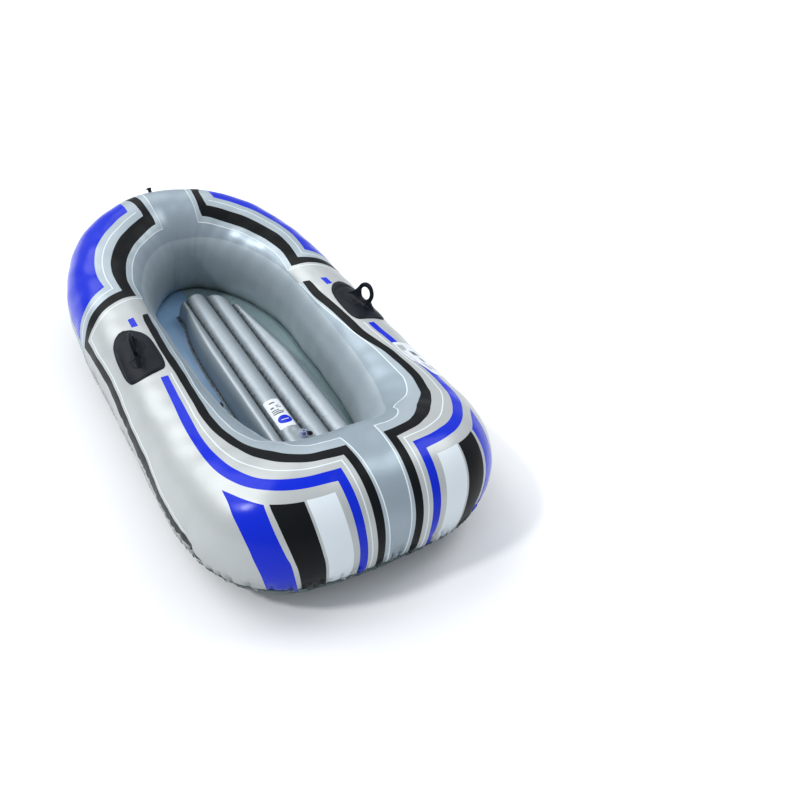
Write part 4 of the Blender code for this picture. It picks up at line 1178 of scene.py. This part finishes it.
def padPoint(side, along, across, lift, little=0.01):
    # a place on the pad, in metres ahead and inboard of its middle; some of it is drawn out further ahead
    turn = oarlock["turn"]
    rate = little / (ringFrame(turn - little)[0] - ringFrame(turn)[0]).length
    further = oarlock["ahead"][side] * (max(0.0, along) / oarlock["outline"][0][0]) ** 2
    turn = np.interp(np.interp(turn - along * rate, crestTurns, crestRun) - further, crestRun, crestTurns)
    girth = oarlock["girth"] - across / alongRing(outerSeries, oarlock["turn"])
    return softHullPoint(float(turn) * side, girth, lift)


def padThickness(fromEdge, share):
    # a rounded rim, a raised border with a bead along it, and a crown in the middle
    rim = oarlock["edge"] * math.sqrt(min(1.0, fromEdge / oarlock["rimRound"] + 0.05))
    border = oarlock["border"]
    bead = math.exp(-((fromEdge - border * oarlock["beadAt"]) / oarlock["beadWidth"]) ** 2)
    step = oarlock["borderStep"] * smoothStep(border, border + oarlock["stepWidth"], fromEdge)
    crown = oarlock["middle"] - oarlock["edge"] - oarlock["borderStep"]
    return rim + oarlock["bead"] * bead + step + crown * (1 - share ** oarlock["crown"])


def addPad(work, side):
    outline = smoothRun([*oarlock["outline"], oarlock["outline"][0]], oarlock["padStep"])[:-1]
    inboard = oarlock["inboard"][side]
    rims = []
    for upper in (True, False):
        loops = []
        for ring in range(oarlock["rings"]):
            share = 1 - (ring / oarlock["rings"]) ** oarlock["padEasing"]
            loop = []
            for along, across in outline:
                fromEdge = (1 - share) * math.hypot(along, across)
                lift = padThickness(fromEdge, share) if upper else -oarlock["sink"]
                stretch = 1.0 if along > 0 else oarlock["astern"][side]
                spot = padPoint(side, along * stretch * share, across * share - inboard, lift)
                loop.append(work.verts.new(spot))
            loops.append(loop)
        lift = oarlock["middle"] if upper else -oarlock["sink"]
        centre = work.verts.new(padPoint(side, 0, -inboard, lift))
        for loop, within in zip(loops, loops[1:]):
            bridge(work, loop, within)
        for i in range(len(outline)):
            work.faces.new((loops[-1][i - 1], loops[-1][i], centre))
        rims.append(loops[0])
    bridge(work, *rims)


def turned(*axes):
    # a frame's rotation from its three axes
    return Matrix(axes).transposed()


def uprightFrame(side):
    point, up = hullPoint(oarlock["turn"] * side, oarlock["girth"], oarlock["lift"])
    forward = Vector((0, 1, 0))
    forward = (forward - up * forward.dot(up)).normalized()
    forward = Matrix.Rotation(oarlock["twist"] * side, 3, up) @ forward
    return Matrix.Translation(point) @ turned(forward, up, forward.cross(up)).to_4x4()


def eyeRadius(angle):
    # a round eye drawn out to a blunt point at its foot
    low = max(0.0, -math.sin(angle - oarlock["eyePointTurn"]))
    wide = oarlock["eyeWidth"] * (1 - oarlock["eyePoint"] * low)
    return 1 / math.hypot(math.cos(angle) / wide, math.sin(angle) / oarlock["eyeTall"])


def addUpright(work, place):
    # the plate round the eye, with rounded edges, as rings from the eye outward
    eyeX, eyeY = oarlock["eye"]
    shape = smoothRun([*oarlock["upright"], oarlock["upright"][0]], oarlock["plateStep"])[:-1]
    shape = np.array(shape)
    angles = np.arctan2(shape[:, 1] - eyeY, shape[:, 0] - eyeX)
    radii = np.hypot(shape[:, 0] - eyeX, shape[:, 1] - eyeY)
    order = np.argsort(angles)
    rings = oarlock["plateRings"]
    count = oarlock["plateSteps"]
    turns = [-math.pi + 2 * math.pi * step / count for step in range(count)]
    loops = []
    for front in (1, -1):
        for ring in range(rings + 1) if front > 0 else range(rings - 1, 0, -1):
            share = (1 - math.cos(math.pi * ring / rings)) / 2
            loop = []
            for angle in turns:
                inner = eyeRadius(angle)
                outer = float(np.interp(angle, angles[order], radii[order], period=2 * math.pi))
                radius = inner + (outer - inner) * share
                edge = min(radius - inner, outer - radius, oarlock["round"]) / oarlock["round"]
                half = oarlock["thick"] / 2 * math.sqrt(max(0.0, 1 - (1 - edge) ** 2))
                spot = (eyeX + radius * math.cos(angle), eyeY + radius * math.sin(angle), half * front)
                loop.append(work.verts.new(place @ Vector(spot)))
            loops.append(loop)
    for k in range(len(loops)):
        bridge(work, loops[k - 1], loops[k])


def addPrism(work, place, corners, low, high):
    # flat corners of x and z, drawn out from low to high
    ends = [[work.verts.new(place @ Vector((x, y, z))) for x, z in corners] for y in (low, high)]
    work.faces.new(ends[0])
    work.faces.new(ends[1][::-1])
    bridge(work, *ends)


def flareHalf(height):
    fall = math.exp(-(height - oarlock["flareFrom"]) / oarlock["flareFall"])
    return oarlock["thick"] / 2 + oarlock["flareFoot"] * fall


def addFlare(work, place):
    # the foot spreads into the pad in a hollow curve, with upright ribs on both faces
    low, top = oarlock["flareFrom"], oarlock["flareTop"]
    heights, ahead, behind = zip(*oarlock["flareReach"])
    loops = []
    for height in [0.0, *np.linspace(low, top, oarlock["flareRings"])]:
        half = flareHalf(max(height, low))
        front, back = np.interp(height, heights, ahead), np.interp(height, heights, behind)
        loop = []
        for angle in np.linspace(0, math.tau, oarlock["flareSteps"] + 1)[:-1]:
            long, wide = (signedPower(f(angle), oarlock["flareFullness"]) for f in (math.cos, math.sin))
            spot = ((front + back) / 2 * long + (front - back) / 2, height, half * wide)
            loop.append(work.verts.new(place @ Vector(spot)))
        loops.append(loop)
    work.faces.new(loops[0])
    work.faces.new(loops[-1])
    for under, over in zip(loops, loops[1:]):
        bridge(work, under, over)
    across = turned((0, 0, 1), (1, 0, 0), (0, 1, 0)).to_4x4()  # the ribs' corners face along the boat
    for along, reach in oarlock["ribs"]:
        levels = np.linspace(low, reach, oarlock["ribLevels"])
        rises = [oarlock["ribRise"] * math.sqrt(max(0.0, (reach - level) / reach)) for level in levels]
        wing = [(flareHalf(level) + rise, level) for level, rise in zip(levels, rises)]
        foot = oarlock["ribFoot"]
        shape = [(0.0, foot), (wing[0][0], foot), *wing, (0.0, reach)]
        for face in (1, -1):
            addPrism(work, place @ across, [(z * face, y) for z, y in shape], along - oarlock["ribHalf"],
                     along + oarlock["ribHalf"])


def meltTogether(name, work, material):
    # one closed skin over all the solids, with its edges softened
    bmesh.ops.recalc_face_normals(work, faces=work.faces)
    rough = addPiece(name + "_rough", [], [], [])
    work.to_mesh(rough.data)
    work.free()
    remesh = rough.modifiers.new("melt", "REMESH")
    remesh.mode = "VOXEL"
    remesh.voxel_size = oarlock["voxel"]
    smooth = rough.modifiers.new("soften", "SMOOTH")
    smooth.factor = 0.5
    smooth.iterations = oarlock["soften"]
    piece = addObject(name, plainMesh(rough, name))
    piece.data.materials.clear()
    piece.data.materials.append(material)
    piece.data.shade_smooth()
    return piece


def plainMesh(source, name):
    # the evaluated shape of an object as a mesh of its own, and the object removed
    bpy.context.view_layer.update()
    evaluated = source.evaluated_get(bpy.context.evaluated_depsgraph_get())
    mesh = bpy.data.meshes.new_from_object(evaluated)
    bpy.data.objects.remove(source)
    mesh.name = name
    return mesh


for sideName, side in (("port", -1), ("starboard", 1)):
    solids = bmesh.new()
    upright = uprightFrame(side)
    addPad(solids, side)
    addUpright(solids, upright)
    addFlare(solids, upright)
    moulded = meltTogether(f"oarlock_{sideName}_moulded", solids, padRubber)
    finishPiece(moulded, "boat", "black_rubber", f"oarlock_{sideName}")
    print("oarlock", sideName, len(moulded.data.polygons), "faces")


# Ribs pressed into welds and grips, one beside the other
def makeRibTree():
    tree = bpy.data.node_groups.new("pressed_ribs", "GeometryNodeTree")
    kinds = {"Places": "Geometry", "Rib Length": "Float", "Rib Width": "Float", "Rib Height": "Float",
             "Finish": "Material"}
    for name, kind in kinds.items():
        tree.interface.new_socket(name, in_out="INPUT", socket_type="NodeSocket" + kind)
    tree.interface.new_socket("Ribs", in_out="OUTPUT", socket_type="NodeSocketGeometry")
    given = addNode(tree, "NodeGroupInput").outputs
    sizes = {i: given[name] for i, name in enumerate(("Rib Length", "Rib Width", "Rib Height"))}
    size = addNode(tree, "ShaderNodeCombineXYZ", {}, sizes)
    block = addNode(tree, "GeometryNodeMeshCube", {}, {"Size": size.outputs[0]})
    rounded = addNode(tree, "GeometryNodeSubdivisionSurface", {"Level": 1},
                      {"Mesh": block.outputs["Mesh"]})
    turn = addNode(tree, "GeometryNodeInputNamedAttribute", {"Name": "ribTurn"}, data_type="FLOAT_VECTOR")
    row = addNode(tree, "GeometryNodeInstanceOnPoints", {},
                  {"Points": given["Places"], "Instance": rounded.outputs["Mesh"],
                   "Rotation": turn.outputs[0]})
    real = addNode(tree, "GeometryNodeRealizeInstances", {}, {"Geometry": row.outputs["Instances"]})
    smooth = addNode(tree, "GeometryNodeSetShadeSmooth", {}, {"Geometry": real.outputs["Geometry"]})
    painted = addNode(tree, "GeometryNodeSetMaterial", {},
                      {"Geometry": smooth.outputs["Geometry"], "Material": given["Finish"]})
    addNode(tree, "NodeGroupOutput", {}, {"Ribs": painted.outputs["Geometry"]})
    return tree


ribTree = makeRibTree()
ribSockets = {item.name: item.identifier for item in ribTree.interface.items_tree
              if item.in_out == "INPUT"}


def buildRibs(name, places, sizes, material):
    # places are a point, the rib's long way and the way it stands out
    guide = addPiece(name + "_guide", [place[0] for place in places], [], [])
    turns = []
    for point, along, up in places:
        across = up.cross(along).normalized()
        turns.extend(turned(along.normalized(), across, along.cross(across).normalized()).to_euler())
    guide.data.attributes.new("ribTurn", "FLOAT_VECTOR", "POINT").data.foreach_set("vector", turns)
    modifier = guide.modifiers.new("ribs", "NODES")
    modifier.node_group = ribTree
    for socket, value in zip(("Rib Length", "Rib Width", "Rib Height"), sizes):
        modifier[ribSockets[socket]] = value
    modifier[ribSockets["Finish"]] = material
    return addObject(name, plainMesh(guide, name))


# Spacing, and the length, width and height of a rib
weldRibs = {
    "hemApart": 0.0065, "hemRib": (0.010, 0.0030, 0.0012),
    "floorApart": 0.0055, "floorRib": (0.007, 0.0026, 0.0011), "hemLower": 0.01,
}


def hemPlaces(littleUp=0.03, littleAhead=0.004):
    # all round the hull, square to the edge of the bottom sheet
    places = []
    girth = (hull["hemTop"] + hull["hemLow"]) / 2 - weldRibs["hemLower"]
    for turn in ringTurns(int(2 * halfRun / weldRibs["hemApart"])):
        here = softHullPoint(turn, girth, hull["lapStep"])
        up = softHullPoint(turn, girth + littleUp, hull["lapStep"]) - here
        ahead = softHullPoint(turn + littleAhead, girth, hull["lapStep"]) - here
        places.append((here, up, up.cross(ahead)))
    return places


def flangePlaces():
    # down both long sides of the air floor, on its welded flange
    places = []
    for beam, step, outward in ((0, 0, -1), (3, floor["steps"], 1)):
        stern, bow = floorEnds(beam, step)
        for y in np.arange(stern, bow, weldRibs["floorApart"]):
            here = floorSurface(beam, step, y)[0]
            here.x += outward * floor["flange"] / 2
            places.append((here, Vector((outward, 0, 0)), Vector((0, 0, 1))))
    return places


hemRibs = buildRibs("hem_weld_ribs", hemPlaces(), weldRibs["hemRib"], vinyl["bottom"])
finishPiece(hemRibs, "boat", "bottom_vinyl")
flangeRibs = buildRibs("floor_weld_ribs", flangePlaces(), weldRibs["floorRib"], vinyl["floor"])
finishPiece(flangeRibs, "boat", "floor_vinyl")
print("weld ribs ready")


# Valves, in millimetres round each valve's own axis: seat, stem that pushes in, check flap and cap
valve = {
    "seat": ((7.0, -10), (8.6, -10), (8.6, 0.8), (15.2, 0.8), (16.0, 1.1), (16.0, 1.7), (15.3, 2.0),
        (13.6, 2.0), (13.0, 2.5), (12.2, 2.5), (11.6, 2.0), (10.4, 2.0), (9.6, 2.4), (9.3, 3.4),
        (7.6, 3.4), (7.0, 3.0)),
    "stem": ((4.0, -9), (6.5, -9), (6.7, -8.7), (6.7, 4.0), (6.3, 4.4), (6.3, 5.2), (6.7, 5.6),
        (6.7, 14.2), (7.6, 14.4), (8.2, 14.9), (8.2, 15.6), (7.8, 16.0), (4.4, 16.0), (4.0, 15.6)),
    "cap": ((0, 16.3), (7.9, 16.3), (8.4, 16.8), (8.4, 19.7), (7.8, 20.4), (6.6, 20.5), (5.8, 20.1),
        (0, 20.1)),
    "plug": ((0, 12.8), (2.6, 12.8), (3.0, 13.2), (3.5, 16.6), (0, 16.6)),
    "flap": ((0, -9.9), (5.3, -9.9), (5.6, -9.75), (5.6, -9.45), (5.3, -9.3), (0, -9.3)),
    "lug": ((7.3, 12.4), 2.0, (14.8, 16.0)), "strap": ((6.4, 10.6), 2.0, (17.2, 18.4)),
    "knuckle": (11.2, 17.8, 1.2, 2.5), "stored": {"floor": math.radians(185)}, "hole": 9.5,
    "segments": 48, "grips": 28, "gripAt": (8.4, 18.2), "grip": (0.0030, 0.0009, 0.0009),
    "gripGap": 0.9, "softEdge": 0.00025, "holeSides": 12,
}
valveParts = {"seat": ("seat",), "stem": ("stem",), "flap": ("flap",), "cap": ("cap", "plug")}
inMillimetres = Matrix.Scale(0.001, 4)


def addTurned(work, place, profile):
    # a closed profile of radii and heights, or one that ends on the axis, turned round it
    loops = []
    for step in range(valve["segments"]):
        angle = 2 * math.pi * step / valve["segments"]
        spots = [Vector((r * math.cos(angle), r * math.sin(angle), z)) / 1000 for r, z in profile]
        loops.append([work.verts.new(place @ spot) for spot in spots])
    first = -1 if profile[0][0] > 0 else 0
    for i, loop in enumerate(loops):
        for k in range(first, len(profile) - 1):
            work.faces.new((loops[i - 1][k], loop[k], loop[k + 1], loops[i - 1][k + 1]))


def addBlock(work, place, along, half, heights):
    corners = [(along[i], heights[k]) for i, k in ((0, 0), (1, 0), (1, 1), (0, 1))]
    addPrism(work, place @ inMillimetres, corners, -half, half)


def addKnuckle(work, place):
    x, z, radius, half = valve["knuckle"]
    angles = np.linspace(0, 2 * math.pi, 17)[:-1]
    circle = [(x + radius * math.cos(a), z + radius * math.sin(a)) for a in angles]
    addPrism(work, place @ inMillimetres, circle, -half, half)


def valveFrame(place):
    joints = {joint["name"]: joint for joint in frame["joints"]}
    up = Vector(joints[f"{place}_stem_slide"]["axis"])
    hinge = joints[f"{place}_cap_hinge"]
    side = Vector(hinge["axis"])
    out = side.cross(up)
    x, z = valve["knuckle"][:2]
    origin = Vector(hinge["pos_m"]) - out * x / 1000 - up * z / 1000
    return Matrix.Translation(origin) @ turned(out, side, up).to_4x4()


def valvePiece(place, kind, work):
    bmesh.ops.remove_doubles(work, verts=work.verts, dist=0.000001)
    bmesh.ops.recalc_face_normals(work, faces=work.faces)
    dark = kind == "cap" or (kind == "stem" and place == "bow")
    piece = addPiece(f"{place}_{kind}_moulded", [], [], [capRubber if dark else clearVinyl])
    work.to_mesh(piece.data)
    work.free()
    piece.data.shade_smooth()
    bevel = piece.modifiers.new("soft edges", "BEVEL")
    bevel.width = valve["softEdge"]
    bevel.segments = 2
    bevel.harden_normals = True
    finishPiece(piece, "boat" if kind == "seat" else f"{place}_{kind}",
                "cap_rubber" if kind == "cap" else "clear_vinyl", f"{place}_valve_{kind}")


def capGrips(place, there):
    # upright ribs round the cap's rim, with none over its strap
    radius, height = valve["gripAt"]
    axis = Vector((0, 0, 1))
    turn = there.to_3x3()
    grips = []
    for step in range(valve["grips"]):
        angle = 2 * math.pi * step / valve["grips"]
        out = Vector((math.cos(angle), math.sin(angle), 0))
        if out.x < valve["gripGap"]:
            grips.append((there @ ((out * radius + axis * height) / 1000), turn @ axis, turn @ out))
    ribs = buildRibs(f"{place}_cap_grips", grips, valve["grip"], capRubber)
    finishPiece(ribs, f"{place}_cap", "cap_rubber")


def buildValve(place):
    here = valveFrame(place)
    x, z = (size / 1000 for size in valve["knuckle"][:2])
    pin = Matrix.Translation((x, 0, z))
    there = here @ pin @ Matrix.Rotation(valve["stored"].get(place, 0), 4, "Y") @ pin.inverted()
    for kind, profiles in valveParts.items():
        work = bmesh.new()
        at = there if kind == "cap" else here
        for profile in profiles:
            addTurned(work, at, valve[profile])
        if kind == "stem":
            addBlock(work, at, *valve["lug"])
        if kind == "cap":
            addBlock(work, at, *valve["strap"])
            addKnuckle(work, at)
        valvePiece(place, kind, work)
    capGrips(place, there)
    return here


def cutHole(piece, here):
    # a round hole in the film, hidden under the seat's flange
    radius = valve["hole"] / 1000
    centre, axis = here.to_translation(), here.to_3x3() @ Vector((0, 0, 1))
    spoke = axis.orthogonal().normalized()

    def within(face):
        off = face.calc_center_median() - centre
        return (off - axis * off.dot(axis)).length < radius

    with openMesh(piece) as work:
        parts = {face for face in work.faces
                 if (face.calc_center_median() - centre).length < radius * 2.2}
        for face in list(parts):
            parts.update(face.edges)
            parts.update(face.verts)
        for step in range(valve["holeSides"]):
            out = Matrix.Rotation(math.tau * step / valve["holeSides"], 3, axis) @ spoke
            made = bmesh.ops.bisect_plane(work, geom=list(parts), plane_co=centre + out * radius,
                                          plane_no=out)
            parts = set(made["geom"])
        inside = [part for part in parts if isinstance(part, bmesh.types.BMFace) and within(part)]
        bmesh.ops.delete(work, geom=inside, context="FACES")


for place, sheet in (("bow", skin), ("wall", wall), ("floor", airFloor)):
    cutHole(sheet, buildValve(place))
print("valves ready")

# Frame nodes that stay inside the air, with their finish
for name in ("chamber_divider", "floor_web_port", "floor_web_middle", "floor_web_starboard"):
    frame["nodes"][name].data.materials.clear()
    frame["nodes"][name].data.materials.append(vinyl["inside"])


# Stage: a plain pale floor, soft light and the camera at the photograph's view
stage = {
    "floorColour": "#f0f1f2", "worldColour": "#f2f7ff", "worldStrength": 0.66,
    "floorRoughness": 0.7, "floorSize": 30, "floorDrop": 0.0005, "lampReach": 4,
    "cameraAt": (-0.8316, -1.9690, 1.7279), "cameraTurn": (51.00, -6.43, -31.77), "focal": 34.31,
    "sensor": 36,
}
# Soft boxes far away on both sides, as angles round and above the boat
lights = {
    "left": {"around": 122, "above": 44, "strength": 1.35, "softness": 40},
    "bow": {"around": 76, "above": 40, "strength": 0.25, "softness": 26},
    "right": {"around": 12, "above": 52, "strength": 0.85, "softness": 30},
    "lamp": {"around": 168, "above": 47, "strength": 1.2, "softness": 7},
}


def addStage():
    material = bpy.data.materials.new("pale_paint")
    material.use_nodes = True
    shader = material.node_tree.nodes["Principled BSDF"]
    shader.inputs["Base Color"].default_value = linearColour(stage["floorColour"])
    shader.inputs["Roughness"].default_value = stage["floorRoughness"]
    bpy.ops.mesh.primitive_plane_add(size=stage["floorSize"], location=(0, 0, -stage["floorDrop"]))
    ground = bpy.context.object
    ground.name = "ground"
    ground.data.materials.append(material)
    world = bpy.data.worlds.new("studio")
    world.use_nodes = True
    background = world.node_tree.nodes["Background"]
    background.inputs["Color"].default_value = linearColour(stage["worldColour"])
    background.inputs["Strength"].default_value = stage["worldStrength"]
    bpy.context.scene.world = world
    for name, light in lights.items():
        lamp = bpy.data.lights.new(name, "SUN")
        lamp.angle = math.radians(light["softness"])
        lamp.energy = light["strength"]
        around, above = math.radians(light["around"]), math.radians(light["above"])
        level = math.cos(above)
        toward = Vector((math.cos(around) * level, math.sin(around) * level, math.sin(above)))
        item = addObject(name, lamp)
        item.location = toward * stage["lampReach"]
        item.rotation_euler = toward.to_track_quat("Z", "Y").to_euler()
    lens = bpy.data.cameras.new("camera")
    lens.sensor_width = stage["sensor"]
    lens.lens = stage["focal"]
    camera = addObject("camera", lens)
    camera.location = stage["cameraAt"]
    camera.rotation_euler = [math.radians(angle) for angle in stage["cameraTurn"]]
    bpy.context.scene.camera = camera
    bpy.context.scene.view_settings.view_transform = "Standard"  # bright and full of contrast


addStage()
